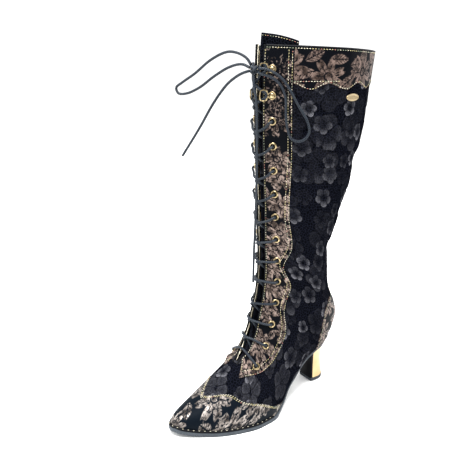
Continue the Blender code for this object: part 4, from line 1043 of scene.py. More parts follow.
print("panels:", PANEL_THICKNESS, "mm thick, with an edge of", EDGE_LINES[-1], "mm")

# %% [markdown]
# ## Eyestays
# Each side of the throat has a long panel that takes the eyelets. Its outer edge swings in and out down
# the leg and runs to a point on the vamp, its inner one follows the throat. A curve through a few chosen
# widths gives the swing.

# %% Eyestays
EyestayEdge = namedtuple("EyestayEdge", "front_height inner outer")
EYESTAY = [EyestayEdge(*row) for row in (
    (60, 21, 12), (67, 15, 19), (76, 8, 27),
    (84, 0, 34), (96, 0, 42), (113, 0, 51),
    (126, 0, 53), (154, 0, 43), (182, 0, 46),
    (203, 0, 34), (230, 0, 43), (262, 0, 37),
    (334, 0, 40), (445, 0, 38),
)]
STAY_HEIGHTS, STAY_INNER, STAY_OUTER = zip(*EYESTAY)
STAY_OUTER_AT = smooth_curve(STAY_HEIGHTS, STAY_OUTER)
STAY_TIP = 64.9  # front height where the two edges meet in a point
STAY_ENDS = (float(FORM.station_at(STAY_TIP)), COLLAR)
STAY_WIDTH = 36  # on the whole, for its lines
SIDES = ((1, "outer"), (-1, "inner"))

def stay_inner(station):
    return np.maximum(np.interp(FORM.front_height(station), STAY_HEIGHTS, STAY_INNER), GAP_AT(station))


def stay_outer(station):
    return STAY_OUTER_AT(FORM.front_height(station))


def add_eyestay(side, word):
    """The panel on one side, soft all round but for its top, under the collar's edge."""
    length = STAY_ENDS[1] - STAY_ENDS[0]

    def place(v, u):
        station = STAY_ENDS[0] + v * length
        inner = stay_inner(station)
        return station, side * (inner + u * (stay_outer(station) - inner))

    return sewn_panel(f"stay_{word}", place, length, STAY_WIDTH, FOIL_LEATHER, (True, False))


stays = {side: add_eyestay(side, word) for side, word in SIDES}
for side, node in ((1, "eyestay_lateral"), (-1, "eyestay_medial")):
    settle(stays[side], "printed_leather", node)
print("eyestays:", [len(s.data.polygons) for s in stays.values()], "faces")

# %% [markdown]
# ## Toe cap
# The cap is pulled over the toe in one piece, and its seam dips in a wave from the middle down to each
# side. Its grid starts at the first section, so a few smaller rings ahead of that close the round nose.

# %% Toe cap
CAP_SEAM = {0: -205, 0.14: -199, 0.34: -183, 0.55: -173, 0.74: -148, 1: -110}
CAP_SEAM_AT = smooth_curve(CAP_SEAM, CAP_SEAM.values())  # its y at a share of the girth
CAP_LENGTH, CAP_COLUMNS = 110, 91
NOSE_ROUND = ((0, -2.4), (0.55, -2), (0.9, -0.9))  # share of the first row, and how far ahead

def cap_seam_station(share):
    """Station of the cap's seam at a share of the girth."""
    limit = CAP_SEAM_AT(abs(share))
    return solve(lambda s: FORM.bare(s, share * FORM.reach(s))[..., 1] - limit, 0.0 * share, STATION["arch"])


def add_toe_cap():
    v, v_height = edged_lines(CAP_LENGTH, (False, True))
    share = np.linspace(-1.0, 1.0, CAP_COLUMNS)
    station = v[:, None] * cap_seam_station(share)
    girth = share * FORM.reach(station)
    points = skin(station, girth, (PANEL_SEAT + PANEL_THICKNESS * v_height)[:, None])
    first = points[0]
    heart = (first[0] + first[-1] + 2 * first[len(first) // 2]) / 4
    nose = [heart + (first - heart) * part + (0.0, ahead, 0.0) for part, ahead in NOSE_ROUND]
    station = np.vstack([np.zeros((len(nose), len(share))), station])
    girth = np.vstack([*girth[:1].repeat(len(nose), axis=0), girth])
    uv = np.stack([girth, station], axis=-1)
    return merged(grid_piece("cap", np.concatenate([nose, points]), CAP_LEATHER, uv))


settle(add_toe_cap(), "printed_leather", "toe_cap")
print("toe cap: seam from", round(float(cap_seam_station(np.array([0.0]))[0])), "mm")

# %% [markdown]
# ## Counter
# The counter cups the heel. Its front edges lean back as they rise and meet behind the ankle. Each half is
# a panel from that edge to the back seam, and the two are closed there.

# %% Counter
COUNTER_EDGE = {66: -46, 88: -44, 108: -43, 131: -35, 143: -26, 152: -16}
COUNTER_EDGE_AT = smooth_curve(COUNTER_EDGE, COUNTER_EDGE.values())  # its y at a height
COUNTER_SIZE = (90, 40)  # mm up and round, for its lines
COUNTER_FRONT = 0.3  # share of the girth that the edge stays behind
COUNTER_SEAM = 0.4  # mm between the halves' points that are closed

def behind_counter_edge(station, girth):
    points = FORM.bare(station, girth)
    return points[..., 1] - COUNTER_EDGE_AT(points[..., 2])


def counter_end(first, last, sense):
    """Station where the edge meets the end of the girth, between two sections."""
    return float(solve(lambda s: sense * behind_counter_edge(s, FORM.reach(s)), STATION[first],
                       STATION[last]))


COUNTER_FOOT = counter_end("shank", "heel seat", 1)
COUNTER_TOP = counter_end("heel top", "ankle", -1)

def counter_girth(station):
    reach = FORM.reach(station)
    return solve(lambda q: behind_counter_edge(station, q), COUNTER_FRONT * reach, reach)


def counter_half(side):
    def place(v, u):
        station = COUNTER_FOOT + v * (COUNTER_TOP - COUNTER_FOOT)
        edge = counter_girth(station)
        return station, side * (edge + u * (FORM.reach(station) - edge))

    return sewn_panel(f"counter_{side}", place, *COUNTER_SIZE, FOIL_LEATHER, soft_sides=(True, False))


counter = merged(join_pieces("heel_counter", [counter_half(side) for side in (1, -1)]), COUNTER_SEAM)
settle(counter, "printed_leather", "counter")
print("counter: stations", round(COUNTER_FOOT), "to", round(COUNTER_TOP))

# %% [markdown]
# ## Cuffs
# A band of the printed leather runs round the top, with a waved lower edge. The zip parts it in two. A way
# round the leg that is counted on past the back seam lets one function make both.

# %% Cuffs
CUFF_FOOT, CUFF_HEIGHT = 398.5, 36
CUFF_WAVE = (3.4, 40, 38)  # height, length and girth of the first crest
ZIP_TOP = (-47, 433)  # y and z of the zip's two ends on the inner side
ZIP_FOOT = (-78, 62)
ZIP_TAPE_HALF = 6.5
ZIP_SEARCH = (20, 0.98)  # the girth in mm and the share of the reach that the zip lies between
SEAM_GAP = 0.4

def at_height(height, girth):
    """Station where the shaft's skin reaches a height, at a girth."""
    return solve(lambda s: FORM.bare(s, girth)[..., 2] - height, STATION["calf"], STATION["tongue top"])


def round_girth(way):
    """A girth counted on past the back seam, as a signed girth."""
    reach = float(FORM.reach(COLLAR))
    return np.where(way <= reach, way, way - 2 * reach)


def cuff_foot_station(girth):
    rise, length, crest = CUFF_WAVE
    return at_height(CUFF_FOOT + rise * np.cos(2 * math.pi * (abs(girth) - crest) / length), girth)


def zip_girth(station):
    """Girth of the zip's middle line at a station."""
    def ahead(q):
        points = FORM.bare(station, -q)
        y = np.interp(points[..., 2], (ZIP_FOOT[1], ZIP_TOP[1]), (ZIP_FOOT[0], ZIP_TOP[0]))
        return points[..., 1] - y
    return -solve(ahead, ZIP_SEARCH[0] + 0.0 * station, ZIP_SEARCH[1] * FORM.reach(station))


def add_cuff(name, first, last):
    """A cuff between two ways round the leg."""
    def place(v, u):
        girth = round_girth(first + u * (last - first))
        foot = cuff_foot_station(girth)
        return foot + v * (COLLAR - foot), girth + 0.0 * v

    return sewn_panel(name, place, CUFF_HEIGHT, last - first, CUFF_LEATHER, (True, False))


CUFF_STATION = (STATION["cuff"] + COLLAR) / 2
FULL_ROUND = 2 * float(FORM.reach(COLLAR))
STAY_EDGE = float(stay_outer(CUFF_STATION))
ZIP_WAY = FULL_ROUND + float(zip_girth(np.array(CUFF_STATION)))
ZIP_SIDE = ZIP_TAPE_HALF + SEAM_GAP
back_cuff = add_cuff("cuff_round_back", STAY_EDGE + SEAM_GAP, ZIP_WAY - ZIP_SIDE)
settle(back_cuff, "printed_leather", "cuff_back")
front_cuff = add_cuff("cuff_inner_front", ZIP_WAY + ZIP_SIDE, FULL_ROUND - STAY_EDGE - SEAM_GAP)
settle(front_cuff, "printed_leather", "cuff_front")
print("cuffs: full round", round(FULL_ROUND), "mm, zip at", round(ZIP_WAY))

# %% [markdown]
# ## Edges and tongue
# The collar and the throat have turned black edges, and on the throat the pale lining shows as a thin wavy
# line. A strip with a curved profile, swept along each edge, closes the layers there. The tongue is a plain
# sheet of cloth behind the throat; it lies flatter than the leg, which leaves room for the lace behind the
# eyestays.

# %% Tongue
TONGUE_ROWS, TONGUE_COLUMNS = 220, 41
TONGUE_HALF_TOP, TONGUE_ARCH = 44, 59  # half its width at the top, and half the width of its full arch
TONGUE_RISE = STATION["tongue top"] - COLLAR
TONGUE_FOOT = 20  # how far it runs on inside the vamp
TONGUE_REACH = 0.18  # share of the leg's side that it runs behind
TONGUE = 1.8
TONGUE_LIFT = (-2.8, -7.5)  # outside of the tongue under the skin, at its middle and towards its sides
TONGUE_BEND = (2, 6)  # mm from the middle where it starts to sink, and over what width

def tongue_places():
    """Stations and girths of the sheet, whose top is arched."""
    share = np.linspace(-1.0, 1.0, TONGUE_COLUMNS)
    foot = STATION["throat foot"] - TONGUE_FOOT
    top = COLLAR + TONGUE_RISE * (1 - (share * TONGUE_HALF_TOP / TONGUE_ARCH) ** 2)
    station = foot + np.linspace(0.0, 1.0, TONGUE_ROWS)[:, None] * (top - foot)
    gap = GAP_AT(station)
    return station, share * (gap + TONGUE_REACH * (FORM.reach(station) - gap))


def tongue_lift(girth):
    share = np.clip((abs(girth) - TONGUE_BEND[0]) / TONGUE_BEND[1], 0.0, 1.0)
    return ease_between(*TONGUE_LIFT, 0.0, 0.0, share)


def add_tongue():
    """Two sheets, front and back, with a rim round them."""
    station, girth = tongue_places()
    lift = tongue_lift(girth)
    rows, columns = station.shape
    count = rows * columns
    faces = grid_faces(rows, columns).tolist()
    faces += [[count + i for i in face[::-1]] for face in faces]
    corner = np.arange(count).reshape(rows, columns)
    rim = np.concatenate([corner[:, 0], corner[-1, 1:], corner[-2::-1, -1], corner[0, -2::-1]])
    faces += [(a, b, count + b, count + a) for a, b in zip(rim, rim[1:])]
    points = [skin(station, girth, lift), skin(station, girth, lift - TONGUE)]
    uv = [np.stack([girth, station], axis=-1)] * 2
    return add_piece("tongue_sheet", points, faces, TONGUE_CLOTH, uv, sharp=50)


settle(add_tongue(), "black_cloth", "tongue")
print("tongue:", round(TONGUE_RISE, 1), "mm above the collar")

# %% Edge strips
COLLAR_PROFILE = ((1.4, -0.9), (1.55, -0.3), (1.15, 0.4), (-0.3, 0.8), (-1.9, 0.4), (-2.4, -1.2),
                  (-2.2, -5))
THROAT_PROFILE = ((1.35, 2.6), (1.55, 0.9), (1.25, -0.2), (0.2, -0.7), (-0.7, -0.5), (-1, 0.6))
LINING_PROFILE = ((-0.7, 1.2), (-0.8, -0.9), (-1.2, -1.3), (-1.7, -0.9), (-1.8, 1.5))
EDGE_STEP, THROAT_ROWS = 2, 240
THROAT_PAST = (3, 0.6)  # mm that the strips run past the throat's foot and the collar
LINING_WANDER = 2.1  # mm that the lining's edge wanders
WANDER_LENGTHS = (19, 71)  # mm, of the two waves that it wanders by
LINING_TUCK = {1: 1.6, -1: 0.9}  # how far it is turned in behind the leather on each side

def add_collar_edge():
    start = GAP_AT(COLLAR)
    girth = round_girth(np.linspace(start, FULL_ROUND - start, int(FULL_ROUND / EDGE_STEP)))
    lift, rise = np.array(COLLAR_PROFILE).T
    points = skin(COLLAR + rise, girth[:, None], lift)
    return grid_piece("collar_edge", points[::-1], BLACK_LEATHER)


def add_throat_edge(side, name, profile, material, wander):
    """A strip up one side of the throat; what stands over its edge wanders."""
    station = np.linspace(STATION["throat foot"] - THROAT_PAST[0], COLLAR + THROAT_PAST[1], THROAT_ROWS)
    short, long = (2 * math.pi * station / length for length in WANDER_LENGTHS)
    more = abs(wander * np.sin(short) * np.sin(long + 1.0))
    lift, inset = np.array(profile).T
    inset = np.where(inset < 0, inset - more[:, None], inset)
    points = skin(station[:, None], side * (GAP_AT(station)[:, None] + inset), lift)
    return grid_piece(name, points if side < 0 else points[:, ::-1], material)


settle(add_collar_edge(), "black_leather")
for side, word in SIDES:
    edge = add_throat_edge(side, f"throat_edge_{word}", THROAT_PROFILE, BLACK_LEATHER, 0.0)
    settle(edge, "black_leather")
    tucked = [(lift, inset + LINING_TUCK[side]) for lift, inset in LINING_PROFILE]
    # the lining's edge gets the lighter copy of the lining, painted light against the throat's shade
    lining_edge = add_throat_edge(side, f"throat_lining_{word}", tucked, LIT_LINING, LINING_WANDER)
    settle(lining_edge, "beige_sock")
print("edges: collar, and two on each side of the throat")

# %% [markdown]
# ## Brass, set on places
# Eyelets, hooks, stitches and zip teeth repeat along lines on the skin. Copies could be placed one by one,
# but a Geometry Nodes tree does it better: it gets a mesh of bare points, each with the direction that it
# faces and the direction that it points towards, and sets one shape on all of them. The instances are made
# real and get their material, so that the result is one plain mesh.

# %% Placing tree and antique brass
def placing_tree():
    """Sets a shape on points by the directions that they carry."""
    tree, add, given = new_tree("set_on_places", Shape="Object", Finish="Material")
    facing, towards = (add("GeometryNodeInputNamedAttribute", Name=name, data_type="FLOAT_VECTOR")
                       for name in ("facing", "towards"))
    upright = add("FunctionNodeAlignRotationToVector", Vector=facing, axis="Z")
    turned = add("FunctionNodeAlignRotationToVector", Rotation=upright, Vector=towards, axis="X",
                 pivot_axis="Z")
    shape = add("GeometryNodeObjectInfo", Object=given["Shape"], As_Instance=True)
    placed = add("GeometryNodeInstanceOnPoints", Points=given["Geometry"],
                 Instance=shape.outputs["Geometry"], Rotation=turned)
    real = add("GeometryNodeRealizeInstances", placed)
    painted = add("GeometryNodeSetMaterial", Geometry=real, Material=given["Finish"])
    add("NodeGroupOutput", painted)
    return tree


PLACING = placing_tree()

def set_on_places(name, shape, finish, points, facing, towards, shade=None):
    """One mesh with a copy of a shape at each point."""
    mesh = new_mesh(name, framed(points), [])
    for key, values in (("facing", facing), ("towards", towards)):
        layer = mesh.attributes.new(key, "FLOAT_VECTOR", "POINT")
        layer.data.foreach_set("vector", np.asarray(values, np.float32).ravel())
    if shade is not None:
        shades = mesh.attributes.new("shade", "FLOAT", "POINT").data
        shades.foreach_set("value", np.asarray(shade, np.float32))
    return apply_tree(show(name, mesh), PLACING, {"Shape": shape, "Finish": finish})


def shape_object(name, points, faces, sharp=None):
    """A shape in mm round its own origin, kept out of the scene, for the tree to copy."""
    return bpy.data.objects.new(name, new_mesh(name, np.asarray(points, float) * MM, faces, sharp))


def lathe(profile, sides):
    """Points and faces of a profile of (radius, height), from the outside in, turned round Z."""
    points = [(r * math.cos(a), r * math.sin(a), z) for r, z in profile for a in circle(sides)]
    return points, ring_faces(len(profile), sides)


def joined(*solids):
    """Several (points, faces) as one."""
    starts = np.cumsum([0, *(len(points) for points, _ in solids)])
    faces = [[i + start for i in face] for start, (_, sides) in zip(starts, solids) for face in sides]
    return np.vstack([points for points, _ in solids]), faces


def make_antique_brass():
    """Antiqued brass, tumbled: brown in the hollows, rubbed bright where it is touched."""
    material, add, shader = new_material("antiqued_tumbled_brass")
    place = add("TexCoord").outputs["Object"]
    patina = add("TexNoise", Vector=place, Scale=1 / (2.2 * MM), Detail=5.0)
    rubbed = add("MapRange", patina, 0.32, 0.6)
    gloss = add("MapRange", rubbed, 0.0, 1.0, 0.48, 0.26)
    coat(shader, (rubbed, "#3f372a", "#b5a482"), (patina, 0.15, 0.2), Metallic=1.0, Roughness=gloss)
    return material


ANTIQUE_BRASS = make_antique_brass()
print("placing tree:", len(PLACING.nodes), "nodes")

# %% [markdown]
# ## Eyelets and hooks
# Twelve brass eyelets a side stand in the eyestays, with two open hooks above them for quick lacing. An
# eyelet is a turned ring with a barrel through a true hole, so the lace can pass. A hook is a rivet, a strip
# of sheet and a loop of wire. Their line follows the throat in equal steps, as a punch would set them.

# %% Places of the hooks and eyelets
HOOK_ROWS = 2
LACE_ROWS = 14  # hooks and eyelets on each side
FIRST_HOOK_DROP = 24.3  # from the collar
EYELET_PITCH = 27.54  # along the eyestay
EYELET_LINE = {80: 26, 110: 30, 156: 28, 205: 24, 253: 20, 363: 18, 445: 16}
LINE_FINE = 600  # points of the line that the steps are read from

def lace_rows():
    """Stations and girths of the hooks and eyelets, in equal steps down the eyestay from the collar."""
    stations = np.linspace(COLLAR, STATION["tread"], LINE_FINE)
    girths = np.interp(FORM.front_height(stations), list(EYELET_LINE), list(EYELET_LINE.values()))
    stops = FIRST_HOOK_DROP + EYELET_PITCH * np.arange(LACE_ROWS)
    return read_line(stops, way_along(FORM.bare(stations, girths)), np.column_stack([stations, girths])).T


ROW_STATION, ROW_GIRTH = lace_rows()
hook_rows, eyelet_rows = np.split(np.arange(LACE_ROWS), [HOOK_ROWS])

def seats(stations, girths, lift):
    """Points on the skin, with the directions that they face and towards the throat."""
    points = skin(stations, girths, lift)
    facing = FORM.normal(stations, girths)
    towards = skin(stations, girths - np.sign(girths), lift) - points
    return points, facing, unit(towards - facing * np.sum(towards * facing, axis=1, keepdims=True))


def both_sides(rows):
    return np.tile(ROW_STATION[rows], 2), np.concatenate([ROW_GIRTH[rows], -ROW_GIRTH[rows]])


def row_nodes(name, rows):
    """The solids that a row of hooks or eyelets stands for."""
    return [f"{name}_{word}_{k + 1}" for _, word in SIDES for k in range(len(rows))]


print("rows:", LACE_ROWS, "a side, the first at station", int(ROW_STATION[0]))

# %% Eyelets and hooks
EYELET_PROFILE = [(4.5, -0.3), (4.55, 0.3), (4.3, 0.85), (3.8, 1.25), (3.3, 1.35), (2.8, 1.15), (2.45, 0.6),
                  (2.35, -0.6), (2.35, -3.4)]
STAY_TOP = PANEL_SEAT + PANEL_THICKNESS
HOLE_RADIUS = 2.9  # cut in the leather, hidden under the eyelet's flange
RIVET_PROFILE = [(4.4, -0.2), (4.4, 0.5), (3.9, 0.85), (3.4, 0.8), (3.2, 0.6), (2.9, 1.3), (2.2, 1.9),
                 (1.2, 2.25), (0.05, 2.35)]
HOOK_ARM = [(-3, 0.1, 2.4), (4.6, 0.4, 2.4), (5.2, 0.8, 5.4), (6.8, 1.1, 5.6), (7.4, 1.3, 5)]
HOOK_LOOP = [(6.2, -5.2, 1), (9.5, -5.6, 2.2), (11.9, -4.9, 3.4), (12.4, -2.5, 3.7), (12.4, 2.5, 3.7),
             (11.9, 4.9, 3.4), (9.5, 5.6, 2.2), (6.2, 5.2, 1)]
HOOK_STEP = 1.1
HOOK_WIRE = 0.8  # radius
METAL = 0.9  # thickness of the hook's sheet

def ribbon(strip, thickness):
    """Rings of a flat strip, from rows of run, height and half width."""
    strip = np.array(strip)
    rings = []
    for (x, z, half), (dx, dz) in zip(strip, unit(np.gradient(strip[:, :2], axis=0))):
        over = np.array((-dz, 0.0, dx)) * thickness / 2
        edge = [(x, -half, z), (x, half, z)]
        rings.append([edge[0] - over, edge[1] - over, edge[1] + over, edge[0] + over])
    return rings


def hook_shape():
    loop, _ = tube_rings(smooth_path(HOOK_LOOP, HOOK_STEP), HOOK_WIRE, 6)
    arm = prism(ribbon(HOOK_ARM, METAL))
    return shape_object("hook", *joined(lathe(RIVET_PROFILE, 20), arm, prism(loop)), sharp=45)


def cut_holes(piece, middles, radius):
    """Deletes the faces of a piece round each eyelet's middle."""
    mesh = piece.data
    centres = np.zeros(len(mesh.polygons) * 3)
    mesh.polygons.foreach_get("center", centres)
    away = np.linalg.norm(centres.reshape(-1, 1, 3) - framed(middles), axis=-1)
    gone = np.flatnonzero(away.min(axis=1) < radius * MM)
    shape = bmesh.new()
    shape.from_mesh(mesh)
    shape.faces.ensure_lookup_table()
    bmesh.ops.delete(shape, geom=[shape.faces[i] for i in gone], context="FACES")
    shape.to_mesh(mesh)
    shape.free()


holes = both_sides(eyelet_rows)
for piece, lift in ((stays[1], STAY_TOP), (stays[-1], STAY_TOP), (upper, 0.0)):
    cut_holes(piece, skin(*holes, lift), HOLE_RADIUS)
eyelet = shape_object("eyelet", *lathe(EYELET_PROFILE, 24))
eyelets = set_on_places("eyelet_rings", eyelet, ANTIQUE_BRASS, *seats(*holes, STAY_TOP))
settle(eyelets, "antique_brass", *row_nodes("eyelet", eyelet_rows))
hooks = set_on_places("speed_hooks", hook_shape(), ANTIQUE_BRASS, *seats(*both_sides(hook_rows), STAY_TOP))
settle(hooks, "antique_brass", *row_nodes("lace_hook", hook_rows))
print("eyelets:", 2 * len(eyelet_rows), "hooks:", 2 * len(hook_rows))

# %% [markdown]
# ## The lacing
# Each half of the lace leaves the knot, goes round two hooks on alternate sides, and then crosses down the
# throat: out of an eyelet, over the edge, under the opposite edge and up through the next eyelet there. At
# the foot a bar joins the halves. A route of points in station, girth and lift is written for one crossing
# and repeated by a loop, and at the middle one half runs under the other.

# %% Route of the lace
UNDER, OVER = 0.5, 3.9  # lift of the two halves where they cross

def crossing_stops(row, side, middle_lift):
    """Places from an eyelet, over to the other side and up to the next row's eyelet from below."""
    s0, s1 = ROW_STATION[row:row + 2]
    q0, q1 = ROW_GIRTH[row:row + 2]
    gap = GAP_AT((s0 + s1) / 2)
    table = [  # share of the way down, girth and lift
        (0.00, q0, 0.6), (0.02, q0 - 0.6, 3.4), (0.08, q0 - 3.4, 4.6), (0.20, (q0 + gap) / 2, 3.3),
        (0.36, gap - 0.5, 3.2), (0.52, 0.0, middle_lift), (0.66, 3.9 - gap, -1.2), (0.76, -gap - 0.5, -4.3),
        (0.90, -(q1 + gap) / 2, -4.6), (0.98, 1.5 - q1, -4.6), (1.00, -q1, -3.0),
    ]
    return [(s0 + way * (s1 - s0), side * q, lift) for way, q, lift in table]


def hook_stops(row, side):
    """A turn round a hook, from above it to below it."""
    table = [(5.0, 10.5, 3.4), (3.0, 7.0, 3.2), (0.0, 5.6, 3.2), (-3.0, 7.0, 3.2), (-5.0, 10.5, 3.4)]
    return [(ROW_STATION[row] + up, side * (ROW_GIRTH[row] - inwards), lift) for up, inwards, lift in table]


def lace_half(side, middle_lift):
    """Places of one half, and the side where it ends."""
    s0, s1, s2 = ROW_STATION[:3]
    q2 = ROW_GIRTH[2]
    gap = GAP_AT(s2)
    stops = [*hook_stops(0, side), ((s0 + s1) / 2, 0.0, middle_lift + 1.0), *hook_stops(1, -side)]
    for way, q, lift in ((0.45, 0.0, middle_lift + 1.0), (0.64, gap - 3.9, -1.2), (0.76, gap + 0.5, -4.3),
                         (0.96, q2 - 1.5, -4.6), (1.0, q2, -3.0)):
        stops.append((s1 + way * (s2 - s1), side * q, lift))
    for row in range(HOOK_ROWS, LACE_ROWS - 1):
        lift = middle_lift if row % 2 else UNDER + OVER - middle_lift
        stops += crossing_stops(row, side, lift)
        side = -side
    return stops, side


def foot_bar(side):
    """Places of the bar between the two lowest eyelets, from one side to the other and down through it."""
    s, q = ROW_STATION[-1], ROW_GIRTH[-1]
    half = [(q, 0.6), (q - 0.6, 3.4), (q - 5.0, 4.2), (6.0, 3.0)]
    across = [*half, (0.0, 2.2), *((-girth, lift) for girth, lift in half[::-1]), (-q, -2.4)]
    return [(s, side * girth, lift) for girth, lift in across]


print("lace:", len(lace_half(1, UNDER)[0]), "stops in a half")

# %% Lacing and knot
LACE_STEP = 1.7
KNOT_SIDE = (4.6, 2, -2.4)  # from the knot's middle to the start of a half
KNOT_CURVE = (3.5, 2.4, 3.5)  # mm for each unit of the trefoil
KNOT_SWELL = 1.15  # the knot's cord is thicker, as it is squeezed

def add_lacing():
    """Both halves as one piece; the first one ends with the bar."""
    tubes = []
    for k, (side, lift) in enumerate(((1, UNDER), (-1, OVER))):
        stops, last = lace_half(side, lift)
        if side > 0:
            stops += foot_bar(last)
        start = KNOT + np.multiply(KNOT_SIDE, (side, 1, 1))
        path = smooth_path(np.vstack([start, skin(*np.array(stops).T)]), LACE_STEP)
        tubes.append(tube(f"lace_half_{k}", path, LACE_RADIUS, WAXED_CORD, sides=8))
    return join_pieces("lacing", tubes)


def add_knot():
    """An overhand knot: the cord follows a trefoil, pulled tight."""
    t = np.linspace(0.0, 2 * math.pi, 90)
    curve = [np.sin(t) + 2 * np.sin(2 * t), -3 * np.sin(3 * t), np.cos(t) - 2 * np.cos(2 * t)]
    path = KNOT + np.column_stack(curve) / 3 * KNOT_CURVE
    return tube("knot", path, LACE_RADIUS * KNOT_SWELL, WAXED_CORD)


lacing = settle(add_lacing(), "waxed_cord", "lace_crossings")
settle(add_knot(), "waxed_cord", "lace_knot")
print("lacing:", len(lacing.data.polygons), "faces")

# %% [markdown]
# ## Stitches
# The seams are sewn with a thick variegated thread, cream and straw with flecks of red and green, so every
# stitch shows. A bump in the leather would be lighter, but it would not stand out at the edge. So each row
# is a line on the skin beside a panel's edge, the placing tree sets a small rounded stitch at equal steps
# along it, and a number drawn for each stitch picks its colour.

# %% Thread and stitch rows
STITCH, STITCH_PITCH = 1.8, 3  # mm long, and the step from one to the next
STITCH_RADIUS = 0.38
STITCH_RINGS = ((-1, 0.25), (-0.72, 0.9), (0, 1), (0.72, 0.9), (1, 0.25))  # shares of run, radius
STITCH_FLAT = 0.8  # its height, as a share of its width
STITCH_LOOK = 0.6  # mm to each side for its direction
STITCH_LIFT = STAY_TOP + 0.12
DRAW = np.random.default_rng(11)
CREAM, GREY_GREEN = 0.5, 0.8  # places on the thread's colour ramp
THREAD_TONES = ((0, "#a0976f"), (0.40, "#ada793"), (0.74, "#69705c"), (0.88, "#85564a"), (0.94, "#91855d"),
                (1, "#91855d"))

def make_thread():
    """Variegated polyester thread: dull cream and straw with flecks of green and red."""
    material, add, shader = new_material("variegated_polyester_thread")
    ramp = add("ValToRGB", add("Attribute", attribute_name="shade").outputs["Fac"])
    ramp.color_ramp.interpolation = "CONSTANT"
    for at, _ in THREAD_TONES[1:-1]:
        ramp.color_ramp.elements.new(at)
    for element, (at, tone) in zip(ramp.color_ramp.elements, THREAD_TONES):
        element.position = at
        element.color = hex_colour(tone)
    feed(shader, {"Base Color": ramp, "Roughness": 0.6, "Sheen Weight": 0.15})
    return material


def stitch_shape():
    rings = [[(x * STITCH / 2, r * STITCH_RADIUS * math.cos(a), STITCH_FLAT * r * STITCH_RADIUS * math.sin(a))
              for a in circle(6)] for x, r in STITCH_RINGS]
    return shape_object("stitch", *prism(rings))


THREAD = make_thread()
STITCH_SHAPE = stitch_shape()

def stitch_row(station, girth, lift=STITCH_LIFT):
    """Points, facings and directions of a row of stitches along a line on the skin."""
    station, girth = np.broadcast_arrays(np.asarray(station, float), girth)
    line = skin(station, girth, lift)
    way = way_along(line)
    stops = np.arange(STITCH_PITCH / 2, way[-1], STITCH_PITCH)
    towards = read_line(stops + STITCH_LOOK, way, line) - read_line(stops - STITCH_LOOK, way, line)
    return read_line(stops, way, line), read_line(stops, way, FORM.normal(station, girth)), towards


def add_stitches(name, rows, node_slot="printed_leather", wander=0.22, tone=CREAM):
    """Rows of stitches as one piece. The thread's colour wanders from stitch to stitch."""
    points, facing, towards = (np.vstack(part) for part in zip(*rows))
    shade = (tone + np.cumsum(DRAW.normal(0.0, wander, len(points)))) % 1.0
    settle(set_on_places(name, STITCH_SHAPE, THREAD, points, facing, towards, shade), node_slot)
    print(name, len(points), "stitches")

# %% Rows on the eyestays and cuffs
STAY_ROW_ENDS = (8, 4)  # mm from the point and from the collar
SECOND_ROW = ((STATION["waist"], STATION["calf"]), (7.4, 4.9))  # its inset from the stay's edge, by station
STAY_INSETS = (1, 1.5)  # of the first row and of the throat's
CUFF_INSETS = (1, 1.7)  # from a cuff's ends and its foot
CUFF_ROW = 6.2  # mm from the cuff's lowest edge up to its straight row
CUFF_SEAM = 90  # how far round the straight row goes
COLLAR_ROW = 2.2  # under the collar
COLLAR_START = 9  # girth where the collar's row starts

stay_line = np.linspace(STAY_ENDS[0] + STAY_ROW_ENDS[0], COLLAR - STAY_ROW_ENDS[1], 500)
rows = []
for side in (1, -1):
    for inset in (STAY_INSETS[0], np.interp(stay_line, *SECOND_ROW)):
        rows.append(stitch_row(stay_line, side * (stay_outer(stay_line) - inset)))
    rows.append(stitch_row(stay_line, side * (stay_inner(stay_line) + STAY_INSETS[1])))
add_stitches("stay_stitches", rows)

rows = []
for first, last in ((STAY_EDGE, ZIP_WAY - ZIP_SIDE), (ZIP_WAY + ZIP_SIDE, FULL_ROUND - STAY_EDGE)):
    girth = round_girth(np.linspace(first + CUFF_INSETS[0], last - CUFF_INSETS[0], 400))
    rows.append(stitch_row(cuff_foot_station(girth) + CUFF_INSETS[1], girth))
    front = girth[abs(girth) < CUFF_SEAM]
    rows.append(stitch_row(at_height(CUFF_FOOT + CUFF_ROW, front), front))
collar_girth = round_girth(np.linspace(COLLAR_START, FULL_ROUND - COLLAR_START, 700))
rows.append(stitch_row(COLLAR - COLLAR_ROW, collar_girth))
add_stitches("cuff_stitches", rows)

# %% Rows on the cap, counter and tongue
CAP_ROW_ENDS, CAP_INSETS = 0.93, (2, 4.2)  # share of the girth, and mm from the seam
COUNTER_ROW_ENDS, COUNTER_INSET = 3, 1.6
TONGUE_INSET, TONGUE_STITCH = 2.4, 0.15  # mm under its top, and over its cloth

cap_share = np.linspace(-CAP_ROW_ENDS, CAP_ROW_ENDS, 300)
cap_rows = [cap_seam_station(cap_share) - inset for inset in CAP_INSETS]
add_stitches("cap_stitches", [stitch_row(station, cap_share * FORM.reach(station)) for station in cap_rows])
counter_line = np.linspace(COUNTER_FOOT + COUNTER_ROW_ENDS, COUNTER_TOP - COUNTER_ROW_ENDS, 200)
rows = [stitch_row(counter_line, side * (counter_girth(counter_line) + COUNTER_INSET)) for side in (1, -1)]
add_stitches("counter_stitches", rows, wander=0.0, tone=GREY_GREEN)
tongue_top, tongue_across = (places[-1] for places in tongue_places())
tongue_row = stitch_row(tongue_top - TONGUE_INSET, tongue_across, tongue_lift(tongue_across) + TONGUE_STITCH)
add_stitches("tongue_stitches", [tongue_row], "black_cloth")

# %% [markdown]
# ## The zip
# A coil zip runs down the inner side, from the collar to just above the sole. It is a woven tape, two rows
# of nylon turns, a brass slider and a pull tab. The coils could be one long spiral, but separate turns copied
# by the placing tree look the same and are lighter. The zip's middle line is read from the skin once, with
# three directions at each point, and tape, coils, stitches and slider are all set out from it.

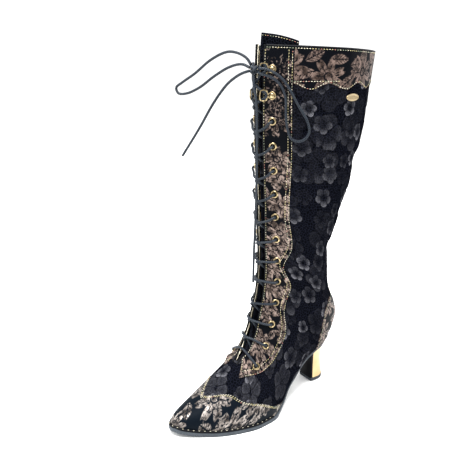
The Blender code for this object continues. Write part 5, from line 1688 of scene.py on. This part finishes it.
# %% Zip line
ZIP_FINE, ZIP_STEPS = 500, 260  # points of the search for the zip's ends, and of its line
ZIP_BEND = 45  # mm, the leg's radius beside the zip

def zip_line():
    """Points up the zip's middle on the skin, with the directions out, up and across."""
    station = np.linspace(STATION["waist"], COLLAR, ZIP_FINE)
    height = FORM.bare(station, zip_girth(station))[:, 2]
    station = np.linspace(*np.interp((ZIP_FOOT[1], ZIP_TOP[1]), height, station), ZIP_STEPS)
    points = skin(station, zip_girth(station))
    out = FORM.normal(station, zip_girth(station))
    up = np.gradient(points, axis=0)
    up = unit(up - out * np.sum(up * out, axis=1, keepdims=True))
    return points, out, up, np.cross(up, out)


ZIP_POINTS, ZIP_OUT, ZIP_UP, ZIP_ACROSS = zip_line()

def beside_zip(offset, lift):
    return ZIP_POINTS + ZIP_ACROSS * offset + ZIP_OUT * (lift - offset ** 2 / (2 * ZIP_BEND))


def zip_row(offset, lift, pitch, start=0.5):
    """Points in equal steps up the zip, with the directions out and up."""
    line = beside_zip(offset, lift)
    way = way_along(line)
    stops = np.arange(start * pitch, way[-1], pitch)
    return [read_line(stops, way, part) for part in (line, ZIP_OUT, ZIP_UP)]


print("zip line:", int(way_along(ZIP_POINTS)[-1]), "mm long")

# %% Tape and coils
TAPE_PROFILE = ((-6.9, 0.1), (-6.5, 0.8), (-5.9, 1.3), (-3.2, 1.35), (3.2, 1.35), (5.9, 1.3), (6.5, 0.8),
                (6.9, 0.1))  # offset and lift
COIL_PITCH, COIL_LIFT = 1.5, 1.35
COIL_SHIFT = 0.2  # of each turn's inner end from the middle line
COIL_TURN = ((0, 0.35, 0.7), (0.4, 0.5, 1.1), (2, 0.5, 1.1), (2.5, 0.35, 0.6))  # out, half width, height
COIL_TOP = 0.7  # a turn's width at its top, as a share of its foot's
ZIP_STITCHES = ((-8.6, 1.3), (-5.2, 1.45), (5.2, 1.45), (8.6, 1.3))  # offset and lift of the rows

def make_zip_tape():
    """Woven polyester tape: black twill, matt."""
    material, add, shader = new_material("woven_polyester_tape")
    place = add("UVMap", uv_map="mm")
    twill = add("TexWave", Vector=place, Scale=0.26, Distortion=0.6, bands_direction="DIAGONAL")
    bump = add("Bump", Height=twill, Strength=0.5, Distance=0.4 * MM)
    feed(shader, {"Base Color": "#0d0e13", "Roughness": 0.8, "Specular IOR Level": 0.2,
                  "Normal": bump})
    return material


def make_nylon():
    """Drawn nylon coil: black with a small sharp gloss, a little dusty."""
    material, add, shader = new_material("drawn_nylon_coil")
    place = add("TexCoord").outputs["Object"]
    dust = add("TexNoise", Vector=place, Scale=1 / (4 * MM), Detail=3.0)
    colour = add("Mix RGBA", Factor=dust, A="#08080b", B="#23242a")
    gloss = add("MapRange", dust, 0.0, 1.0, 0.25, 0.5)
    feed(shader, {"Base Color": colour, "Roughness": gloss, "Specular IOR Level": 0.4})
    return material


def add_tape():
    offsets = np.array(TAPE_PROFILE)[:, 0]
    points = np.stack([beside_zip(*edge) for edge in TAPE_PROFILE], axis=1)
    way = np.arange(ZIP_STEPS) * np.linalg.norm(ZIP_POINTS[1] - ZIP_POINTS[0])
    uv = np.stack(np.meshgrid(offsets, way), axis=-1)
    return grid_piece("zip_cloth", points, make_zip_tape(), uv)


def add_coils():
    """Two rows of turns, each half a step up from the other."""
    rings = [[(x, -half, 0.0), (x, half, 0.0), (x, COIL_TOP * half, high), (x, -COIL_TOP * half, high)]
             for x, half, high in COIL_TURN]
    rows = []
    for side in (1, -1):
        points, out, up = zip_row(side * COIL_SHIFT, COIL_LIFT, COIL_PITCH, 0.5 + 0.25 * side)
        rows.append((points, out, side * np.cross(up, out)))
    turn = shape_object("coil_turn", *prism(rings))
    return set_on_places("zip_coils", turn, make_nylon(), *(np.vstack(part) for part in zip(*rows)))


settle(add_tape(), "zip_tape", "zip_tape")
coils = settle(add_coils(), "zip_teeth", "zip_teeth")
add_stitches("zip_stitches", [zip_row(*row, STITCH_PITCH) for row in ZIP_STITCHES], "zip_tape")
print("zip:", len(coils.data.polygons), "faces of coil")

# %% [markdown]
# ## Slider and pull tab
# A cast slider closes the zip at its top. Its two ears hold a pin, and the tab with its raised rim hangs
# on that and turns with its own body. Both are solids through rounded cross-sections: a bevel on plain boxes
# would do, but the rings give the rim too. Their places come from the frame's own hinge and tab.

# %% Slider
HINGE = np.array(frame["record"]["behaviour"]["joints"][0]["pos_m"]) / MM + MIDDLE
SLIDER_RINGS = [(-6, 2.2), (-5.2, 2.9), (-2, 3.3), (3, 4.5), (5.2, 4.4), (6, 3.4)]  # run, half width
SLIDER_LIFT, SLIDER_CORNER = (1.5, 5.4), 0.8
EAR_WAY, EAR_THICKNESS, EAR_SEAT = 4.2, 0.9, 0.6  # half way across; the seat is inside the slider
EAR_RINGS = ((-2, -0.4), (-0.8, 1.3), (0.8, 1.3), (2, -0.4))  # along, and the top over the pin
EAR_CORNER = 0.3
PIN_RADIUS, PIN_CLEARANCE = 0.6, 0.2
PULL_HALVES = (3, 4.6)  # half widths of the tab at the pin and at the foot

def rounded_box(half, low, high, corner):
    """Cross-section of eight points."""
    return [(-half + corner, low), (half - corner, low), (half, low + corner), (half, high - corner),
            (half - corner, high), (-half + corner, high), (-half, high - corner), (-half, low + corner)]


def slider_side(side, pin_lift):
    """An ear and its half of the pin, as two solids."""
    ear = [[(x, side * EAR_WAY + y, z) for y, z in
            rounded_box(EAR_THICKNESS / 2, SLIDER_LIFT[1] - EAR_SEAT, pin_lift + top, EAR_CORNER)]
           for x, top in EAR_RINGS]
    pin = [[(PIN_RADIUS * math.cos(a), side * y, pin_lift + PIN_RADIUS * math.sin(a)) for a in circle(8)]
           for y in (PULL_HALVES[0] + PIN_CLEARANCE, EAR_WAY)]
    return prism(ear), prism(pin)


def add_slider():
    at = int(np.argmin(np.linalg.norm(ZIP_POINTS - HINGE, axis=1)))
    out, up, across = ZIP_OUT[at], ZIP_UP[at], ZIP_ACROSS[at]
    pin_lift = float((HINGE - ZIP_POINTS[at]) @ out)
    body = prism([[(x, y, z) for y, z in rounded_box(half, *SLIDER_LIFT, SLIDER_CORNER)]
                  for x, half in SLIDER_RINGS])
    ears, pins = zip(*(slider_side(side, pin_lift) for side in (1, -1)))
    points, faces = joined(body, *ears, *pins)
    placed = HINGE - out * pin_lift + points @ np.array([up, across, out])
    return add_piece("slider", placed, faces, ANTIQUE_BRASS, sharp=40)


slider = settle(add_slider(), "antique_brass", "zip_slider")
print("slider:", len(slider.data.polygons), "faces")

# %% Pull tab
PULL_LOW, PULL_HIGH = (np.array(corner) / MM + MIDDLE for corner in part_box("zip_pull"))
PULL_CORNER, PULL_CORNER_LEAST = 1.6, 0.4
PULL_RIM = [(2.4, -0.35), (1.2, -0.35), (0.9, -0.7), (0.25, -0.7), (0, -0.45), (0, 0.45), (0.25, 0.7),
            (0.9, 0.7), (1.2, 0.35), (2.4, 0.35)]  # inset from the outline, and level

def pull_outline(inset):
    """The tab's outline as y and z, drawn in by an inset."""
    top, foot = PULL_HIGH[2] - inset, PULL_LOW[2] + inset
    half_top, half_foot = (half - inset for half in PULL_HALVES)
    corner = max(PULL_CORNER - 0.5 * inset, PULL_CORNER_LEAST)
    turn = np.linspace(0.0, math.pi / 2, 5)
    points = []
    for half, z, sy, sz in ((half_top, top, 1, 1), (half_top, top, -1, 1), (half_foot, foot, -1, -1),
                            (half_foot, foot, 1, -1)):
        for a in turn if sy * sz > 0 else turn[::-1]:
            y = HINGE[1] + sy * (half - corner + corner * math.cos(a))
            points.append((y, z + sz * corner * (math.sin(a) - 1)))
    return points


def add_pull_tab():
    middle = (PULL_LOW[0] + PULL_HIGH[0]) / 2
    rings = [[(middle + level, y, z) for y, z in pull_outline(inset)] for inset, level in PULL_RIM]
    return add_piece("pull_tab", *prism(rings), ANTIQUE_BRASS, sharp=40)


settle(add_pull_tab(), "antique_brass", "zip_pull", body="zip_pull")
print("pull tab:", round(PULL_HIGH[2] - PULL_LOW[2], 1), "mm long")

# %% [markdown]
# ## Badge
# A small oval plate of stamped metal sits under the cuff on the outer side, with a raised rim and a bare
# field. Rings of points from the rim inwards give its section.

# %% Badge
BADGE_HEIGHT, BADGE_GIRTH = 390, 110  # the front's height at its station
BADGE_HALVES = (10.8, 4.1)
BADGE_RIM = [(0, 0.3), (0, 1.2), (0.4, 1.6), (0.9, 1.6), (1.3, 1.25), (2.6, 1.3),
             (3.8, 1.35)]  # inset, lift
BADGE_SIDES = 40

def make_champagne_plate():
    """Stamped brass, plated pale and brushed: champagne with a soft streaked gloss."""
    brushed = ("TexNoise", (0.3, 0.3, 2.5), 2.0)
    return mottled("brushed_champagne_plate", brushed, "#6f624b", "#ab9b7c", brushed, 0.2, 0.2, Metallic=0.9,
                   Roughness=0.38)


def add_badge():
    place = np.array([FORM.station_at(BADGE_HEIGHT)]), np.array([BADGE_GIRTH])
    (seat,), (out,), (towards,) = seats(*place, 0.0)
    upwards = np.cross(towards, out)
    rings = []
    for inset, lift in BADGE_RIM:
        along, across = (half - inset for half in BADGE_HALVES)
        rings.append([seat + towards * along * math.cos(a) + upwards * across * math.sin(a) + out * lift
                      for a in circle(BADGE_SIDES)])
    return add_piece("badge_oval", *prism(rings), make_champagne_plate(), sharp=50)


settle(add_badge(), "antique_brass", "badge_plate")
print("badge:", [2 * half for half in BADGE_HALVES], "mm")

# %% [markdown]
# ## Sole and welt
# The outsole follows the feather edge, where the upper turns under: wide and flat under the ball, thin and
# close under the arch. The welt is a narrow ledge round the forefoot, sewn with pale thread. Both are solids
# through cross-sections with small rounded corners, because sharp edges would look like a drawing. A bevel
# modifier would round them too, but would make many small faces at the nose.

# %% Sole and heel materials
def make_slate_rubber():
    """Moulded rubber: slate grey, matt, with a faint bloom and fine pits."""
    return mottled("moulded_slate_rubber", ("TexNoise", 1 / 9, 5.0), "#282d32", "#454b51",
                   ("TexNoise", 1 / 1.2, 2.0), 0.25, 0.3, Roughness=0.62, Specular_IOR_Level=0.3)


def make_gold_heel():
    """Moulded heel, vacuum-metallised: pale satin gold, a little cloudy, with fine upright scratches."""
    return mottled("vacuum_metallised_gold", ("TexNoise", 1 / 14, 3.0), "#a68c62", "#cbb68c",
                   ("TexNoise", (2.2, 2.2, 0.09), 2.0), 0.08, 0.2, Metallic=0.75, Roughness=0.34,
                   Coat_Weight=0.3, Coat_Roughness=0.2)


SLATE_RUBBER = make_slate_rubber()
GOLD_HEEL = make_gold_heel()
print("materials:", len(bpy.data.materials))

# %% Outsole
SOLE_SEAT = 0.3  # under the feather edge
SOLE_FOREFOOT, SOLE_SHANK = 5.7, 4  # thickness
SHANK_START = (-134, 40)  # y where the sole starts to thin, and over what length
WELT_WIDTH, EDGE_WAIST = 3.4, 0.5  # how far the sole stands out, at the forefoot and at the waist
WAIST_START = (-126, 30)
NOSE_DEPTH = 0.35  # of the front's round, as a share of its half width
NOSE_ANGLES = np.radians((8, 25, 45, 68))
SOLE_CORNER = 0.7

def along_share(y, start):
    return np.clip((y - start[0]) / start[1], 0.0, 1.0)


SOLE_STATIONS = np.linspace(0, STATION["heel end"], 170)
FEATHER = FORM.bare(SOLE_STATIONS, FORM.reach(SOLE_STATIONS))
SOLE_Y, SOLE_TOP = FEATHER[:, 1], FEATHER[:, 2] - SOLE_SEAT
SOLE_BOTTOM = SOLE_TOP - SOLE_FOREFOOT + (SOLE_FOREFOOT - SOLE_SHANK) * along_share(SOLE_Y, SHANK_START)

def sole_edge(stations, side, margin):
    """The feather edge on one side, moved out by a margin."""
    line = FORM.bare(stations, side * FORM.reach(stations))
    run = np.gradient(line[:, :2], axis=0)
    out = np.column_stack([run[:, 1], -run[:, 0]]) * side
    line[:, :2] += unit(out) * np.reshape(margin, (-1, 1))
    return line


def nose_round(left, right, angle):
    """A pair of points on the round front of the sole, ahead of the edge's two first points."""
    middle, half = (left + right) / 2, (right - left) / 2
    ahead = np.array((0.0, -NOSE_DEPTH * np.linalg.norm(half) * math.cos(angle), 0.0))
    return middle - half * math.sin(angle) + ahead, middle + half * math.sin(angle) + ahead


def add_outsole():
    """Cross-sections from the round front to the heel seat."""
    margin = WELT_WIDTH - (WELT_WIDTH - EDGE_WAIST) * along_share(SOLE_Y, WAIST_START)
    left, right = (sole_edge(SOLE_STATIONS, side, margin) for side in (-1, 1))
    pairs = [*(nose_round(left[0], right[0], angle) for angle in NOSE_ANGLES), *zip(left, right)]
    levels = np.column_stack([SOLE_BOTTOM, SOLE_TOP])
    levels = np.vstack([levels[:1].repeat(len(NOSE_ANGLES), axis=0), levels])
    rings = []
    for (a, b), (low, high) in zip(pairs, levels):
        x, y, _ = (a + b) / 2
        half = np.linalg.norm(b - a) / 2
        rings.append([(x + dx, y, z) for dx, z in rounded_box(half, low, high, min(SOLE_CORNER, half / 2))])
    return add_piece("sole", *prism(rings), SLATE_RUBBER, sharp=50)


settle(add_outsole(), "slate_rubber", "outsole")
print("sole:", round(float(SOLE_TOP[0] - SOLE_BOTTOM[0]), 1), "mm thick at the toe")

# %% Welt
WELT_INSET, WELT_HEIGHT = 1.1, 2.2
WELT_BACK = 0.2  # how far the welt's edge stays behind the sole's
WELT_BEVEL = (0.5, 0.25)  # mm down, and the share of its width inwards
WELT_STITCH, WELT_STITCH_LINE = 6.6, 2.5  # pitch, and mm out from the feather edge
WELT_STITCH_LIFT = 0.1

def welt_line(margin):
    """Points of the welt at a margin, from the ball on the inner side round the nose to the outer side."""
    stations = np.linspace(0.0, STATION["ball"], 90)
    inner, outer = sole_edge(stations, -1, margin), sole_edge(stations, 1, margin)
    pairs = [nose_round(inner[0], outer[0], angle) for angle in NOSE_ANGLES[::-1]]
    return np.vstack([inner[::-1], [p for p, _ in pairs], [p for _, p in pairs[::-1]], outer])


def add_welt():
    """A low ledge between two lines, with its outer corner taken off."""
    rings = []
    for near, far in zip(welt_line(WELT_INSET), welt_line(WELT_WIDTH - WELT_BACK)):
        a, b = near[:2], far[:2]
        low = far[2] - SOLE_SEAT
        high = low + WELT_HEIGHT
        bevel = b + (a - b) * WELT_BEVEL[1]
        rings.append([(*a, low), (*b, low), (*b, high - WELT_BEVEL[0]), (*bevel, high), (*a, high)])
    return add_piece("welt_ledge", *prism(rings), BLACK_LEATHER, sharp=50)


settle(add_welt(), "black_leather", "welt")
welt_path = even_steps(welt_line(WELT_STITCH_LINE), WELT_STITCH)
welt_path[:, 2] += WELT_HEIGHT - SOLE_SEAT + WELT_STITCH_LIFT
sky = np.tile((0.0, 0.0, 1.0), (len(welt_path), 1))
add_stitches("welt_stitches", [(welt_path, sky, np.gradient(welt_path, axis=0))], "black_leather", wander=0.0)
frame["nodes"]["insole"].material_slots[0].material = LINING
print("welt:", WELT_HEIGHT, "mm high")

# %% [markdown]
# ## Heel
# The flared heel is a moulded block in a metallised cover, with a black leather breast at its front and a
# rubber top piece under it. It runs through outlines from its foot up to the sole, which it meets at the
# sole's own height. A lathe could not make it, because its front is flat.

# %% Heel, breast and top piece
HeelRing = namedtuple("HeelRing", "share breast_y back_y half")
HEEL_RINGS = [HeelRing(*row) for row in (
    (0, -37, -11, 12.4), (0.12, -36, -12.6, 11.2), (0.35, -35.8, -14, 10.8),
    (0.6, -38, -15.2, 13), (0.8, -42.5, -16.4, 17), (0.93, -47.5, -17.2, 20.2),
    (1, -51, -17.6, 21.6),
)]
HEEL_AT = smooth_curve([ring.share for ring in HEEL_RINGS], [ring[1:] for ring in HEEL_RINGS])
HEEL_FOOT, TOP_PIECE = 5.3, 5  # heights of the block's foot and of the piece under it
BREAST_CORNER = ((0.88, 0), (0.93, 0.11), (0.96, 0.18))  # shares of width and depth where it turns
HEEL_WIDEST = 0.38
HEEL_SQUARE = 0.85  # power of the outline's cosine; below 1 is squarer than an ellipse
HEEL_ROWS, BREAST_ROWS = 30, 24
BREAST_HALF, BREAST_COVER, BREAST_BEVEL = 0.84, 1, (0.8, 0.5)  # share of the width, thickness, pared corner
BREAST_SEAT = 0.05
TOP_PIECE_RINGS = ((0.95, 0), (1, 0.6), (1.02, TOP_PIECE - 0.4), (1, TOP_PIECE))  # share and height

def heel_outline(share):
    """Points round the heel at a share of its height, as x and y."""
    breast_y, back_y, half = HEEL_AT(share)
    wide_y = breast_y + HEEL_WIDEST * (back_y - breast_y)
    side = [(half * x, breast_y + d * (back_y - breast_y)) for x, d in BREAST_CORNER]
    turn = np.linspace(0.0, math.pi / 2, 12)
    side += [(half * math.cos(a) ** HEEL_SQUARE, wide_y + (back_y - wide_y) * math.sin(a)) for a in turn[:-1]]
    return side + [(0.0, back_y)] + [(-x, y) for x, y in side[::-1]]


def heel_height(share, y):
    return HEEL_FOOT + share * (np.interp(y, SOLE_Y, SOLE_BOTTOM) - SOLE_SEAT - HEEL_FOOT)


def add_heel():
    """The block; its front, and the corners that the cover turns round, are black leather."""
    rings = [[(x, y, heel_height(share, y)) for x, y in heel_outline(share)]
             for share in np.linspace(0.0, 1.0, HEEL_ROWS)]
    count = len(rings[0])
    turned_round = [int(i in (0, count - 2, count - 1)) for i in range(count)]
    kinds = [0, *turned_round * (HEEL_ROWS - 1), 0]
    return add_piece("heel_block", *prism(rings), [GOLD_HEEL, BLACK_LEATHER], face_material=kinds, sharp=40)


def add_breast():
    """The leather on the heel's front, with its edges pared."""
    rings = []
    for share in np.linspace(0.0, 1.0, BREAST_ROWS):
        breast_y, _, half = HEEL_AT(share)
        wide = BREAST_HALF * half
        narrow = wide - BREAST_BEVEL[0]
        section = [(-wide, BREAST_SEAT), (wide, BREAST_SEAT), (wide, BREAST_BEVEL[1]), (narrow, BREAST_COVER),
                   (-narrow, BREAST_COVER), (-wide, BREAST_BEVEL[1])]
        rings.append([(x, breast_y - ahead, heel_height(share, breast_y)) for x, ahead in section])
    return add_piece("breast_cover", *prism(rings), BLACK_LEATHER, sharp=40)


def add_top_piece():
    base = np.array(heel_outline(0.0))
    middle = base.mean(axis=0)
    rings = [[(x, y, z) for x, y in middle + (base - middle) * part] for part, z in TOP_PIECE_RINGS]
    return add_piece("heel_tread", *prism(rings), SLATE_RUBBER, sharp=40)


settle(add_heel(), "gold_heel", "heel")
settle(add_breast(), "black_leather", "heel_breast")
settle(add_top_piece(), "slate_rubber", "top_piece")
print("heel: foot", HEEL_RINGS[0].half * 2, "mm wide")
